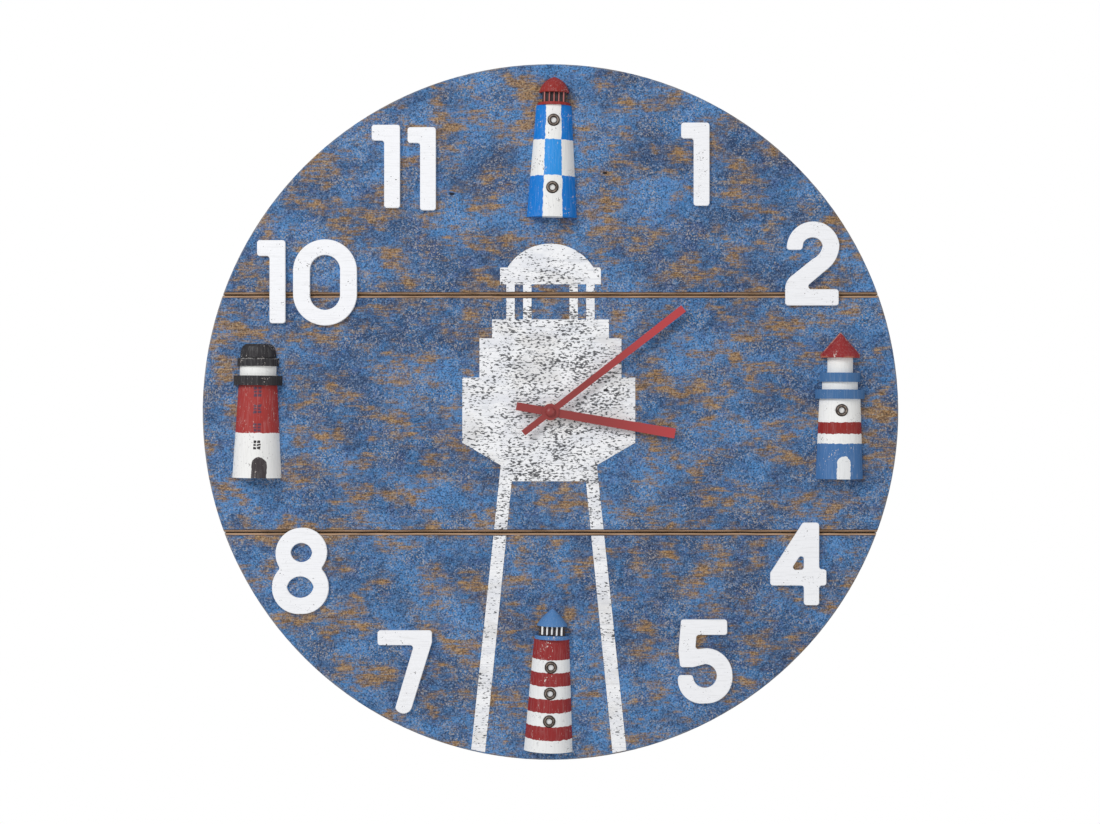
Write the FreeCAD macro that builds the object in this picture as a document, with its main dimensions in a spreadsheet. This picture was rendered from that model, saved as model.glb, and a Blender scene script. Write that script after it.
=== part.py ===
# Round wooden wall clock: three painted planks, cut-out numerals, four small lighthouses
# at twelve, three, six and nine, two flared hands, and a battery movement behind the board.
# Millimetres, +Z up. The dial faces -Y and the wall is the plane y = 0. The origin is the
# middle of the keyhole in the hanger plate, and the dial's axis lies dial_drop below it.
import FreeCAD, Part
import math
import operator
import os

import Sketcher
from FreeCAD import Placement, Rotation, Vector

SIZES = {
    # the board of three planks
    "board_diameter": 580,
    "board_thick": 12,
    "plank_gap": 0.5,
    "groove_bevel": 2.1,
    "rim_bevel": 1,
    "high_groove_up": 97.5,
    "low_groove_down": 100.4,
    "dial_drop": 225,
    "shaft_hole_diameter": 8.6,
    "cut_overrun": 1,
    # the lighthouse painted in the middle of the board, as a raised film of paint
    "paint_thick": 0.3,
    "paint_inset": 0.3,
    "painted_dome_wide": 71.6,
    "painted_dome_tall": 19.9,
    "painted_eave_wide": 84,
    "painted_eave_tall": 14,
    "painted_eave_up": 106.4,
    "painted_column_wide": 7,
    "painted_outer_column_out": 33.3,
    "painted_inner_column_out": 19.3,
    "painted_column_foot_up": 77.1,
    "painted_rail_wide": 97.4,
    "painted_rail_tall": 15.7,
    "painted_deck_wide": 118.3,
    "painted_deck_tall": 32.7,
    "painted_room_wide": 144.1,
    "painted_room_tall": 54.3,
    "painted_shift": 1.4,
    "painted_taper_tall": 18.7,
    "painted_taper_wide": 80.1,
    "painted_soffit_tall": 13.4,
    "painted_leg_gap_high": 61.8,
    "painted_leg_gap_low": 106.2,
    "painted_leg_spread_low": 129.3,
    # the battens, the hanging block and their screws
    "batten_thick": 20,
    "batten_wide": 45,
    "batten_long": 430,
    "batten_out": 120,
    "batten_corner": 4,
    "block_wide": 84,
    "block_tall": 64,
    "screw_long": 25,
    "screw_head_diameter": 8,
    "screw_shank_diameter": 4,
    "screw_core_diameter": 3,
    "screw_shank_long": 14,
    "screw_tip_long": 3,
    "screw_clearance": 0.2,
    "pilot_spare": 1,
    # the keyhole hanger let into the block
    "hanger_wide": 22,
    "hanger_tall": 54,
    "hanger_thick": 1.2,
    "hanger_corner": 4,
    "hanger_clearance": 0.1,
    "hanger_screw_up": 21,
    "keyhole_diameter": 10,
    "keyhole_slot_wide": 5,
    "keyhole_slot_long": 11,
    "recess_deep": 9,
    "recess_margin": 2,
    # the cut-out numerals
    "numeral_tall": 69.2,
    "numeral_thick": 3,
    "numeral_corner": 2.4,
    "numeral_edge": 0.4,
    # the north lighthouse, at twelve
    "north_tilt": 1.1,
    "north_tall": 93,
    "north_bottom_wide": 41.6,
    "north_top_wide": 29.4,
    "north_gallery_wide": 27.2,
    "north_gallery_deep": 12.4,
    "north_gallery_tall": 2.2,
    "north_lantern_wide": 19.6,
    "north_lantern_deep": 7.6,
    "north_lantern_tall": 8.4,
    "north_bar_diameter": 1.2,
    "north_bar_pitch": 3.95,
    "north_roof_wide": 24.8,
    "north_roof_tall": 13.5,
    "north_roof_lip": 1.4,
    "roof_tip_wide": 0.8,
    # the east lighthouse, at three
    "east_tilt": 0.5,
    "east_tall": 66.7,
    "east_bottom_wide": 39.5,
    "east_top_wide": 34.2,
    "east_gallery_lower_wide": 41.2,
    "east_gallery_lower_deep": 15,
    "east_gallery_lower_tall": 7.7,
    "east_drum_wide": 29.8,
    "east_drum_deep": 10.7,
    "east_drum_tall": 6.4,
    "east_gallery_upper_wide": 34,
    "east_gallery_upper_deep": 13,
    "east_gallery_upper_tall": 7.6,
    "east_lantern_wide": 21.3,
    "east_lantern_deep": 8,
    "east_lantern_tall": 12.5,
    "east_roof_wide": 33,
    "east_roof_deep": 12.6,
    "east_roof_tall": 20.6,
    "east_roof_lip": 2.6,
    "east_roof_tip_wide": 1.6,
    # the south lighthouse, at six
    "south_tilt": 1.8,
    "south_tall": 93.3,
    "south_bottom_wide": 40.5,
    "south_top_wide": 29.2,
    "south_gallery_wide": 28.7,
    "south_gallery_deep": 13,
    "south_gallery_tall": 3.1,
    "south_lantern_wide": 21.9,
    "south_lantern_deep": 7.8,
    "south_lantern_tall": 7.9,
    "south_bar_diameter": 1.6,
    "south_bar_pitch": 4,
    "south_roof_wide": 25.4,
    "south_roof_tall": 14.1,
    "south_roof_lip": 0.8,
    # the west lighthouse, at nine
    "west_tilt": 0.7,
    "west_tall": 77,
    "west_bottom_wide": 40.9,
    "west_top_wide": 32.2,
    "west_gallery_wide": 40.6,
    "west_gallery_deep": 14.8,
    "west_gallery_tall": 8,
    "west_drum_wide": 30.4,
    "west_drum_deep": 10.9,
    "west_drum_tall": 8,
    "west_roof_rim_wide": 34.8,
    "west_roof_rim_tall": 6.6,
    "west_roof_neck_wide": 28.4,
    "west_roof_neck_tall": 0.7,
    "west_roof_dome_wide": 30.4,
    "west_roof_dome_tall": 11.1,
    "west_roof_top_wide": 21,
    # the porthole rings let into the towers
    "ring_outside_diameter": 10.2,
    "ring_hole_diameter": 4.7,
    "ring_thick": 1.8,
    "ring_seat_deep": 0.9,
    "ring_clearance": 0.1,
    "north_high_ring_up": 80,
    "north_low_ring_up": 24,
    "east_ring_up": 57.2,
    "south_high_ring_up": 70.6,
    "south_middle_ring_up": 49,
    "south_low_ring_up": 26.2,
    # the hands and what clamps the movement to the board
    "rubber_washer_diameter": 20,
    "rubber_washer_thick": 1,
    "brass_washer_diameter": 13,
    "brass_washer_thick": 0.8,
    "nut_across_flats": 11,
    "nut_thick": 2.6,
    "fit_gap": 0.05,
    "hand_thick": 0.8,
    "hand_hub_diameter": 13.8,
    "hub_boss_diameter": 9,
    "hub_boss_tall": 0.9,
    "hour_hand_angle": 99.8,
    "hour_hand_long": 105,
    "hour_hand_tail": 28.7,
    "hour_hand_hub_wide": 6.8,
    "hour_hand_tip_wide": 8.3,
    "hour_hand_tail_wide": 6.7,
    "minute_hand_angle": 52.1,
    "minute_hand_long": 140,
    "minute_hand_tail": 28.6,
    "minute_hand_hub_wide": 5.1,
    "minute_hand_tip_wide": 6.5,
    "minute_hand_tail_wide": 5.2,
    "cap_nut_diameter": 8,
    "cap_nut_tall": 3.6,
    "cap_nut_skirt": 1.4,
    "cap_nut_flat": 1.6,
    # the movement's case and cover
    "case_wide": 56,
    "case_deep": 16.5,
    "case_wall": 1.4,
    "case_corner": 3,
    "cover_thick": 2,
    "shaft_diameter": 8,
    "shaft_long": 17.6,
    "hour_pipe_diameter": 4.8,
    "minute_pipe_diameter": 2.6,
    "minute_thread_diameter": 2.2,
    "running_clearance": 0.05,
    # the battery and its tray
    "battery_diameter": 14.2,
    "battery_long": 50.2,
    "battery_nub_diameter": 5.4,
    "battery_nub_long": 1.2,
    "battery_clearance": 0.2,
    "tray_wall": 1,
    "contact_thick": 0.4,
    "contact_wide": 9,
    "contact_tall": 8,
    "contact_gap": 0.1,
    # the wheels: layers run from the front wall of the case to its cover
    "train_module": 0.2,
    "motion_module": 0.3,
    "arbor_diameter": 1.6,
    "pivot_diameter": 1,
    "pivot_long": 1.4,
    "pivot_end_gap": 0.2,
    "boss_diameter": 3.2,
    "front_boss_tall": 0.7,
    "rear_boss_tall": 1.2,
    "layer_gap": 0.3,
    "wheel_thick": 0.8,
    "minute_wheel_angle": 60,
    "knob_angle": 0,
    "third_wheel_angle": 135,
    "intermediate_wheel_angle": 115,
    "rotor_angle": 0,
    "knob_diameter": 11,
    "knob_thick": 1.6,
    "knob_gap": 0.3,
    "magnet_diameter": 5.6,
    "magnet_tall": 2.4,
    # the stepping motor and its circuit
    "stator_thick": 1,
    "stator_bore_gap": 0.4,
    "stator_rim": 2,
    "stator_bar": 3,
    "stator_post_diameter": 3,
    "coil_long": 18,
    "coil_diameter": 6,
    "coil_cheek": 0.6,
    "coil_winding_inset": 0.3,
    "core_wide": 3,
    "core_thick": 1,
    "coil_wall_gap": 0.5,
    "circuit_wide": 17,
    "circuit_tall": 8.4,
    "circuit_thick": 0.8,
    "circuit_gap": 0.8,
    "circuit_margin": 0.6,
    "chip_wide": 5,
    "chip_thick": 0.9,
    "crystal_diameter": 1.8,
    "crystal_long": 6,
}

# counts of the wheels' teeth: each wheel and the pinion that drives it share a module
CANNON_TEETH = 15
MINUTE_TEETH = 45
MINUTE_PINION_TEETH = 12
HOUR_TEETH = 48
KNOB_TEETH = 15
CENTRE_TEETH = 100
THIRD_TEETH = 80
INTERMEDIATE_TEETH = 75
PINION_TEETH = 10
NORTH_BARS = 5
SOUTH_BARS = 5

doc = FreeCAD.newDocument("CoastalWallClock")
OPERATIONS = {"+": operator.add, "-": operator.sub, "*": operator.mul, "/": operator.truediv}


class Size:
    """A length and the sheet formula that gives it, so that sums of sizes stay bound to the sheet."""

    def __init__(self, value, formula):
        self.value = float(value)
        self.formula = formula

    def __float__(self):
        return self.value

    def __neg__(self):
        return combined(0, "-", self)

    def __add__(self, other):
        return combined(self, "+", other)

    def __radd__(self, other):
        return combined(other, "+", self)

    def __sub__(self, other):
        return combined(self, "-", other)

    def __rsub__(self, other):
        return combined(other, "-", self)

    def __mul__(self, other):
        return combined(self, "*", other)

    def __rmul__(self, other):
        return combined(other, "*", self)

    def __truediv__(self, other):
        return combined(self, "/", other)


def as_size(number):
    if isinstance(number, Size):
        return number
    return Size(number, "(%r)" % number)


def combined(first, sign, second):
    one, other = as_size(first), as_size(second)
    value = OPERATIONS[sign](one.value, other.value)
    return Size(value, "(%s %s %s)" % (one.formula, sign, other.formula))


def root(size):
    return Size(math.sqrt(size.value), "sqrt(%s)" % size.formula)


def sine(degrees):
    return Size(math.sin(math.radians(degrees.value)), "sin(%s)" % degrees.formula)


def cosine(degrees):
    return Size(math.cos(math.radians(degrees.value)), "cos(%s)" % degrees.formula)


def fill_sheet():
    """The spreadsheet of driving sizes, and each size with the value that the sheet gives it."""
    sheet = doc.addObject("Spreadsheet::Sheet", "Sizes")
    for row, (alias, number) in enumerate(SIZES.items(), start=1):
        sheet.set("A%d" % row, alias)
        sheet.set("B%d" % row, str(number))
        sheet.setAlias("B%d" % row, alias)
    doc.recompute()
    return {alias: Size(sheet.get(alias), "Sizes." + alias) for alias in SIZES}


class Named:
    """The sizes of the sheet by name."""

    def __init__(self, sizes):
        self.__dict__.update(sizes)


s = Named(fill_sheet())
BOARD_BACK = s.batten_thick
BOARD_FRONT = s.batten_thick + s.board_thick
BOARD_RADIUS = s.board_diameter / 2
pieces = {}


def keep(node, piece):
    """Take a finished object as the sub-part of that name."""
    piece.Label = node
    pieces[node] = piece
    return piece


def new_body(node):
    return doc.addObject("PartDesign::Body", node)


def plane(body, role):
    return next(feature for feature in body.Origin.OriginFeatures if feature.Role == role)


def place(piece, x, y, z, turn=None):
    """Bind where a piece stands, and how far it is turned clockwise as the dial is read."""
    if turn is not None:
        piece.Placement = Placement(Vector(), Rotation(Vector(0, 1, 0), turn.value))
        piece.setExpression("Placement.Rotation.Angle", turn.formula)
    for axis, size in zip("xyz", (x, y, z)):
        piece.setExpression("Placement.Base." + axis, as_size(size).formula)


def pin_point(sketch, curve, end, x, z):
    """Hold one point of a sketch at its place, measured from the sketch's origin."""
    for kind, axis, size in (("DistanceX", -2, as_size(x)), ("DistanceY", -1, as_size(z))):
        if size.value == 0:
            sketch.addConstraint(Sketcher.Constraint("PointOnObject", curve, end, axis))
        else:
            number = sketch.addConstraint(Sketcher.Constraint(kind, -1, 1, curve, end, size.value))
            sketch.setExpression("Constraints[%d]" % number, size.formula)


def draw_loop(sketch, stops):
    """A closed outline: a stop is (x, z), or (x, z, via_x, via_z) where an arc arrives at it."""
    points = [Vector(float(stop[0]), float(stop[1]), 0) for stop in stops]
    ends = []
    for number, stop in enumerate(stops):
        before, here = points[number - 1], points[number]
        if len(stop) == 2:
            curve = sketch.addGeometry(Part.LineSegment(before, here), False)
            ends.append((curve, 1, 2))
            continue
        via = Vector(float(stop[2]), float(stop[3]), 0)
        forward = (via - before).cross(here - via).z > 0
        first, last = (before, here) if forward else (here, before)
        curve = sketch.addGeometry(Part.Arc(first, via, last), False)
        ends.append((curve, 1, 2) if forward else (curve, 2, 1))
        mark = sketch.addGeometry(Part.Point(via), True)
        pin_point(sketch, mark, 1, stop[2], stop[3])
        sketch.addConstraint(Sketcher.Constraint("PointOnObject", mark, 1, curve))
    for number, stop in enumerate(stops):
        curve, start, end = ends[number]
        following, next_start, _ = ends[(number + 1) % len(stops)]
        sketch.addConstraint(Sketcher.Constraint("Coincident", curve, end, following, next_start))
        pin_point(sketch, curve, end, stop[0], stop[1])


def draw_circle(sketch, x, z, diameter):
    circle = Part.Circle(Vector(float(x), float(z), 0), Vector(0, 0, 1), diameter.value / 2)
    curve = sketch.addGeometry(circle, False)
    pin_point(sketch, curve, 3, x, z)
    number = sketch.addConstraint(Sketcher.Constraint("Diameter", curve, diameter.value))
    sketch.setExpression("Constraints[%d]" % number, diameter.formula)


def new_sketch(body, role="XZ_Plane", lift=None):
    """An empty sketch on an origin plane of its body, lifted along the plane's normal."""
    sketch = body.newObject("Sketcher::SketchObject", body.Name + "_sketch")
    sketch.AttachmentSupport = [(plane(body, role), "")]
    sketch.MapMode = "FlatFace"
    if lift is not None:
        sketch.setExpression("AttachmentOffset.Base.z", lift.formula)
    return sketch


def loops(body, *outlines, role="XZ_Plane", lift=None):
    sketch = new_sketch(body, role, lift)
    for outline in outlines:
        draw_loop(sketch, outline)
    return sketch


def circles(body, *spots, role="XZ_Plane", lift=None):
    sketch = new_sketch(body, role, lift)
    for x, z, diameter in spots:
        draw_circle(sketch, x, z, diameter)
    return sketch


def box_stops(left, right, low, high):
    return [(left, low), (right, low), (right, high), (left, high)]


def pad(body, sketch, length, reverse=False):
    feature = body.newObject("PartDesign::Pad", body.Name + "_pad")
    feature.Profile = sketch
    feature.Reversed = reverse
    feature.setExpression("Length", length.formula)
    doc.recompute()
    return feature


def pocket(body, sketch, depth=None, reverse=False):
    """A cut to a depth, or right through when none is given, that must remove something."""
    before = body.Tip.Shape.Volume
    feature = body.newObject("PartDesign::Pocket", body.Name + "_pocket")
    feature.Profile = sketch
    feature.Reversed = reverse
    if depth is None:
        feature.Type = "ThroughAll"
    else:
        feature.setExpression("Length", depth.formula)
    doc.recompute()
    if feature.Shape.Volume >= before:
        raise ValueError("%s cuts nothing" % feature.Name)
    return feature


def revolve(body, sketch, axis, degrees=360):
    feature = body.newObject("PartDesign::Revolution", body.Name + "_turned")
    feature.Profile = sketch
    feature.ReferenceAxis = (sketch, [axis])
    feature.Angle = degrees
    doc.recompute()
    return feature


def ease(body, kind, size, chosen):
    """A Fillet or Chamfer of the body's edges that the test picks."""
    base = body.Tip
    names = ["Edge%d" % number for number, edge in enumerate(base.Shape.Edges, 1) if chosen(edge)]
    if not names:
        return base
    feature = body.newObject("PartDesign::" + kind, body.Name + "_" + kind.lower())
    feature.Base = (base, names)
    feature.setExpression("Radius" if kind == "Fillet" else "Size", size.formula)
    doc.recompute()
    return feature


def at_depth(edge, depth):
    """Whether an edge lies all in the plane that is so far in front of the wall."""
    return all(abs(vertex.Y + depth.value) < 1e-4 for vertex in edge.Vertexes)


def runs_along_y(edge):
    ends = [vertex.Point for vertex in edge.Vertexes]
    return len(ends) == 2 and abs(abs(ends[1].y - ends[0].y) - edge.Length) < 1e-4


SMOOTH_DEGREES = 2


def is_corner(shape, edge):
    """Whether two flat or curved walls meet at an edge with a visible turn between them."""
    middle = edge.valueAt((edge.FirstParameter + edge.LastParameter) / 2)
    normals = []
    for face in shape.ancestorsOfType(edge, Part.Face):
        normals.append(face.normalAt(*face.Surface.parameter(middle)))
    return math.degrees(normals[0].getAngle(normals[1])) > SMOOTH_DEGREES


def grouped(node, members):
    """Several separate solids as one sub-part."""
    group = doc.addObject("Part::Compound", node)
    group.Links = members
    return keep(node, group)


def twins(node, original, count):
    """Links to one original, still to be placed, as one sub-part."""
    links = []
    for number in range(count):
        link = doc.addObject("App::Link", "%s_%d" % (node, number + 1))
        link.LinkedObject = original
        links.append(link)
    grouped(node, links)
    return links


# Board: three planks side by side, with bevelled joints and the lighthouse painted over them
GROOVE_HALF = s.plank_gap / 2
FILM_EDGE = GROOVE_HALF + s.groove_bevel + s.paint_inset
FILM_RADIUS = BOARD_RADIUS - s.rim_bevel - s.paint_inset


def rim_point(across, radius):
    """Height above the dial's middle of the point of a circle that is so far across."""
    return root(radius * radius - across * across)


def bevel_stops(edge, side, size):
    """The corner to cut from a front edge at one height, where the wood lies to one side of it."""
    front, over = -BOARD_FRONT, s.cut_overrun
    slope = [(front + size + over, edge - side * over), (front - over, edge + side * (size + over))]
    return slope + [(front - over, edge - side * over)]


def plank(node, outline, joints):
    """A plank of the board: joints gives each joint's height and the side the wood is on."""
    body = new_body(node)
    pad(body, loops(body, outline, lift=BOARD_BACK), s.board_thick)
    for cut, side in joints:
        bevel = loops(body, bevel_stops(cut, side, s.groove_bevel), role="YZ_Plane")
        pocket(body, bevel).Midplane = True
    rim = body.newObject("PartDesign::Groove", node + "_rim")
    rim.Profile = loops(body, bevel_stops(BOARD_RADIUS, -1, s.rim_bevel), role="YZ_Plane")
    rim.ReferenceAxis = (rim.Profile[0], ["H_Axis"])
    rim.Angle = 360
    doc.recompute()
    place(body, 0, 0, -s.dial_drop)
    return keep(node, body)


def column_edges():
    """The left and right sides of the four painted columns, from left to right."""
    half = s.painted_column_wide / 2
    outer, inner = s.painted_outer_column_out, s.painted_inner_column_out
    return [(middle - half, middle + half) for middle in (-outer, -inner, inner, outer)]


def painted_head():
    """Dome, eave and the tops of the columns, above the upper groove."""
    cut = s.high_groove_up + FILM_EDGE
    eave, dome = s.painted_eave_wide / 2, s.painted_dome_wide / 2
    eave_top = s.painted_eave_up + s.painted_eave_tall
    stops = [(-eave, s.painted_eave_up), (-eave, eave_top), (-dome, eave_top)]
    stops.append((dome, eave_top, 0, eave_top + s.painted_dome_tall))
    stops += [(eave, eave_top), (eave, s.painted_eave_up)]
    for left, right in reversed(column_edges()):
        stops += [(right, s.painted_eave_up), (right, cut), (left, cut), (left, s.painted_eave_up)]
    return stops


TAPER_UP = s.painted_column_foot_up - s.painted_rail_tall - s.painted_deck_tall - s.painted_room_tall
LEG_TOP_UP = TAPER_UP - s.painted_taper_tall
SOFFIT_UP = LEG_TOP_UP - s.painted_soffit_tall


def leg_side(side, high_half, high_up, low_half, up):
    """Where a leg's straight edge is at a height, between its top and where it meets the rim."""
    low_up = -rim_point(low_half, FILM_RADIUS)
    across = high_half + (low_half - high_half) * (high_up - up) / (high_up - low_up)
    return side * across - s.painted_shift


def leg_outside(side, up):
    return leg_side(side, s.painted_taper_wide / 2, LEG_TOP_UP, s.painted_leg_spread_low / 2, up)


def leg_inside(side, up):
    return leg_side(side, s.painted_leg_gap_high / 2, SOFFIT_UP, s.painted_leg_gap_low / 2, up)


def painted_trunk():
    """Feet of the columns, the three stepped blocks, the taper and the tops of the two legs."""
    cut = s.high_groove_up - FILM_EDGE
    low_cut = FILM_EDGE - s.low_groove_down
    rail, deck, room = s.painted_rail_wide / 2, s.painted_deck_wide / 2, s.painted_room_wide / 2
    rail_up, foot_up = s.painted_column_foot_up - s.painted_rail_tall, s.painted_column_foot_up
    deck_up = rail_up - s.painted_deck_tall
    taper, shift = s.painted_taper_wide / 2, s.painted_shift
    soffit = s.painted_leg_gap_high / 2
    stops = [(-rail, rail_up), (-rail, foot_up)]
    for left, right in column_edges():
        stops += [(left, foot_up), (left, cut), (right, cut), (right, foot_up)]
    stops += [(rail, foot_up), (rail, rail_up), (deck, rail_up), (deck, deck_up)]
    stops += [(room - shift, deck_up), (room - shift, TAPER_UP), (taper - shift, LEG_TOP_UP)]
    stops += [(leg_outside(1, low_cut), low_cut), (leg_inside(1, low_cut), low_cut)]
    stops += [(soffit - shift, SOFFIT_UP), (-soffit - shift, SOFFIT_UP)]
    stops += [(leg_inside(-1, low_cut), low_cut), (leg_outside(-1, low_cut), low_cut)]
    stops += [(-taper - shift, LEG_TOP_UP), (-room - shift, TAPER_UP), (-room - shift, deck_up)]
    return stops + [(-deck, deck_up), (-deck, rail_up)]


def painted_leg(side):
    """The lower part of one leg, from the lower groove to the rim of the board."""
    cut = -s.low_groove_down - FILM_EDGE
    outer = side * s.painted_leg_spread_low / 2 - s.painted_shift
    inner = side * s.painted_leg_gap_low / 2 - s.painted_shift
    middle = (outer + inner) / 2
    outer_up, inner_up = -rim_point(outer, FILM_RADIUS), -rim_point(inner, FILM_RADIUS)
    stops = [(leg_inside(side, cut), cut), (leg_outside(side, cut), cut), (outer, outer_up)]
    return stops + [(inner, inner_up, middle, -rim_point(middle, FILM_RADIUS))]


def chord_plank(node, cut):
    """A plank between one joint and the rim: the cut is the joint's height, above or below zero."""
    half = rim_point(cut, BOARD_RADIUS)
    top = BOARD_RADIUS if cut.value > 0 else -BOARD_RADIUS
    side = 1 if cut.value > 0 else -1
    return plank(node, [(-half, cut, 0, top), (half, cut)], [(cut, side)])


def middle_plank(node):
    high, low = s.high_groove_up - GROOVE_HALF, GROOVE_HALF - s.low_groove_down
    wide, narrow = rim_point(high, BOARD_RADIUS), rim_point(low, BOARD_RADIUS)
    outline = [(-wide, high, -BOARD_RADIUS, 0), (wide, high)]
    outline += [(narrow, low, BOARD_RADIUS, 0), (-narrow, low)]
    return plank(node, outline, [(high, -1), (low, 1)])


def paint(body, *outlines):
    pad(body, loops(body, *outlines, lift=BOARD_FRONT), s.paint_thick)


# Battens, hanging block and screws: the frame behind the board that stands it off the wall
SCREW_UP_SHARES = (-0.43, -0.3, -0.12, 0.12, 0.3, 0.43)
BATTEN_SCREWS = [
    (side * s.batten_out, share * s.batten_long) for share in SCREW_UP_SHARES for side in (-1, 1)
]
HANGER_SCREWS = [(0, side * s.hanger_screw_up) for side in (-1, 1)]
HANGER_SCREWS_ON_BOARD = [(0, s.dial_drop + up) for _, up in HANGER_SCREWS]


def drill(body, spots, diameter, depth=None, lift=None):
    """Round holes from a plane facing the wall into the wood in front of it."""
    sketch = circles(body, *[(x, up, diameter) for x, up in spots], lift=lift)
    return pocket(body, sketch, depth, reverse=True)


def countersink(body, hole, mouth, level):
    """Widen the round holes of one diameter, where they open at a level, into cones for heads."""

    def is_mouth(edge):
        if edge.Curve.TypeId != "Part::GeomCircle" or not at_depth(edge, level):
            return False
        return abs(edge.Curve.Radius * 2 - hole.value) < 1e-4

    return ease(body, "Chamfer", (mouth - hole) / 2, is_mouth)


SCREW_HOLE = s.screw_shank_diameter + 2 * s.screw_clearance
SCREW_MOUTH = s.screw_head_diameter + 2 * s.screw_clearance
PILOT_HOLE = s.screw_core_diameter + s.screw_clearance
WALL = as_size(0)


def pilot_holes(body, spots):
    """Blind holes in the back of a plank for the points of the screws."""
    drill(body, spots, PILOT_HOLE, s.screw_long - s.batten_thick + s.pilot_spare, BOARD_BACK)


def between(spots, low, high):
    return [spot for spot in spots if low < spot[1].value < high]


def make_planks():
    high, low = s.high_groove_up.value, -s.low_groove_down.value
    screws = BATTEN_SCREWS + HANGER_SCREWS_ON_BOARD
    top = chord_plank("plank_top", s.high_groove_up + GROOVE_HALF)
    paint(top, painted_head())
    pilot_holes(top, between(screws, high, BOARD_RADIUS.value))
    middle = middle_plank("plank_middle")
    paint(middle, painted_trunk())
    pilot_holes(middle, between(screws, low, high))
    pocket(middle, circles(middle, (0, 0, s.shaft_hole_diameter), lift=BOARD_BACK), reverse=True)
    bottom = chord_plank("plank_bottom", -s.low_groove_down - GROOVE_HALF)
    paint(bottom, painted_leg(-1), painted_leg(1))
    pilot_holes(bottom, between(screws, -BOARD_RADIUS.value, low))


def make_batten(node, side):
    body = new_body(node)
    half, tall = s.batten_wide / 2, s.batten_long / 2
    pad(body, loops(body, box_stops(-half, half, -tall, tall)), s.batten_thick)
    ease(body, "Chamfer", s.batten_corner, runs_along_y)
    spots = [(0, up) for x, up in BATTEN_SCREWS if x.value * side > 0]
    pocket(body, circles(body, *[(x, up, SCREW_HOLE) for x, up in spots]), reverse=True)
    countersink(body, SCREW_HOLE, SCREW_MOUTH, WALL)
    place(body, side * s.batten_out, 0, -s.dial_drop)
    keep(node, body)


def centred_box(wide, tall):
    half, up = wide / 2, tall / 2
    return box_stops(-half, half, -up, up)


def make_hanging_block():
    """Wood block behind the top plank, with a flat seat for the plate and room for the wall screw."""
    body = new_body("hanging_block")
    pad(body, loops(body, centred_box(s.block_wide, s.block_tall)), s.batten_thick)
    ease(body, "Chamfer", s.batten_corner, runs_along_y)
    spare = 2 * s.hanger_clearance
    seat = loops(body, centred_box(s.hanger_wide + spare, s.hanger_tall + spare))
    pocket(body, seat, s.hanger_thick, reverse=True)
    pocket(body, circles(body, *[(x, up, SCREW_HOLE) for x, up in HANGER_SCREWS]), reverse=True)
    countersink(body, SCREW_HOLE, SCREW_MOUTH - 2 * s.hanger_thick, s.hanger_thick)
    half = s.keyhole_diameter / 2 + s.recess_margin
    recess = box_stops(-half, half, -half, s.keyhole_slot_long + half)
    pocket(body, loops(body, recess), s.recess_deep, reverse=True)
    keep("hanging_block", body)


def keyhole_stops():
    """A round entry with a narrower slot rising from it, as one outline."""
    radius, half = s.keyhole_diameter / 2, s.keyhole_slot_wide / 2
    neck, top = root(radius * radius - half * half), s.keyhole_slot_long
    return [(-half, neck, 0, -radius), (-half, top), (half, top, 0, top + half), (half, neck)]


def make_hanger_plate():
    body = new_body("hanger_plate")
    pad(body, loops(body, centred_box(s.hanger_wide, s.hanger_tall)), s.hanger_thick)
    ease(body, "Fillet", s.hanger_corner, runs_along_y)
    pocket(body, loops(body, keyhole_stops()), reverse=True)
    cone = s.hanger_thick - s.hanger_clearance
    hole = SCREW_MOUTH - 2 * cone
    pocket(body, circles(body, *[(x, up, hole) for x, up in HANGER_SCREWS]), reverse=True)
    countersink(body, hole, SCREW_MOUTH, WALL)
    keep("hanger_plate", body)


def make_back_screws():
    """Identical countersunk screws: twelve through the battens and two through the hanger."""
    screw = new_body("one_back_screw")
    head, shank, core = (
        size / 2 for size in (s.screw_head_diameter, s.screw_shank_diameter, s.screw_core_diameter)
    )
    length = -s.screw_long
    outline = [(0, 0), (0, head), (shank - head, shank), (-s.screw_shank_long, shank)]
    outline += [(-s.screw_shank_long, core), (length + s.screw_tip_long, core), (length, 0)]
    revolve(screw, loops(screw, outline, role="YZ_Plane"), "H_Axis")
    spots = [(x, up - s.dial_drop) for x, up in BATTEN_SCREWS] + HANGER_SCREWS
    for link, (x, up) in zip(twins("back_screws", screw, len(spots)), spots):
        place(link, x, 0, up)


# Numerals: cut-outs with rounded corners. Outlines are shares of a numeral's height, measured
# from its middle. A figure's spot is a share of the board's diameter from the dial's middle, and
# the second figure of ten and eleven stands off the first by shares of a numeral's height
ONE_SHARES = [(-0.17, 0.5), (0.17, 0.5), (0.17, -0.5), (-0.02, -0.5), (-0.02, 0.31), (-0.17, 0.31)]
TWO_SHARES = [
    (-0.325, -0.505),
    (-0.325, -0.3),
    (-0.262, -0.16, -0.308, -0.225),
    (0.007, 0.056),
    (0.126, 0.217, 0.1, 0.14),
    (-0.108, 0.248, 0.01, 0.314),
    (-0.123, 0.164),
    (-0.308, 0.164),
    (-0.304, 0.215),
    (0.325, 0.225, 0.01, 0.505),
    (0.168, -0.077, 0.285, 0.06),
    (-0.108, -0.31),
    (0.316, -0.31),
    (0.316, -0.505),
]
FOUR_SHARES = [
    (0.056, 0.497),
    (0.25, 0.497),
    (0.25, -0.065),
    (0.337, -0.065),
    (0.337, -0.26),
    (0.25, -0.26),
    (0.25, -0.497),
    (0.068, -0.497),
    (0.068, -0.26),
    (-0.337, -0.26),
    (-0.337, -0.11),
]
FOUR_HOLE_SHARES = [(0.068, 0.172), (-0.093, -0.073), (0.068, -0.073)]
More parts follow.
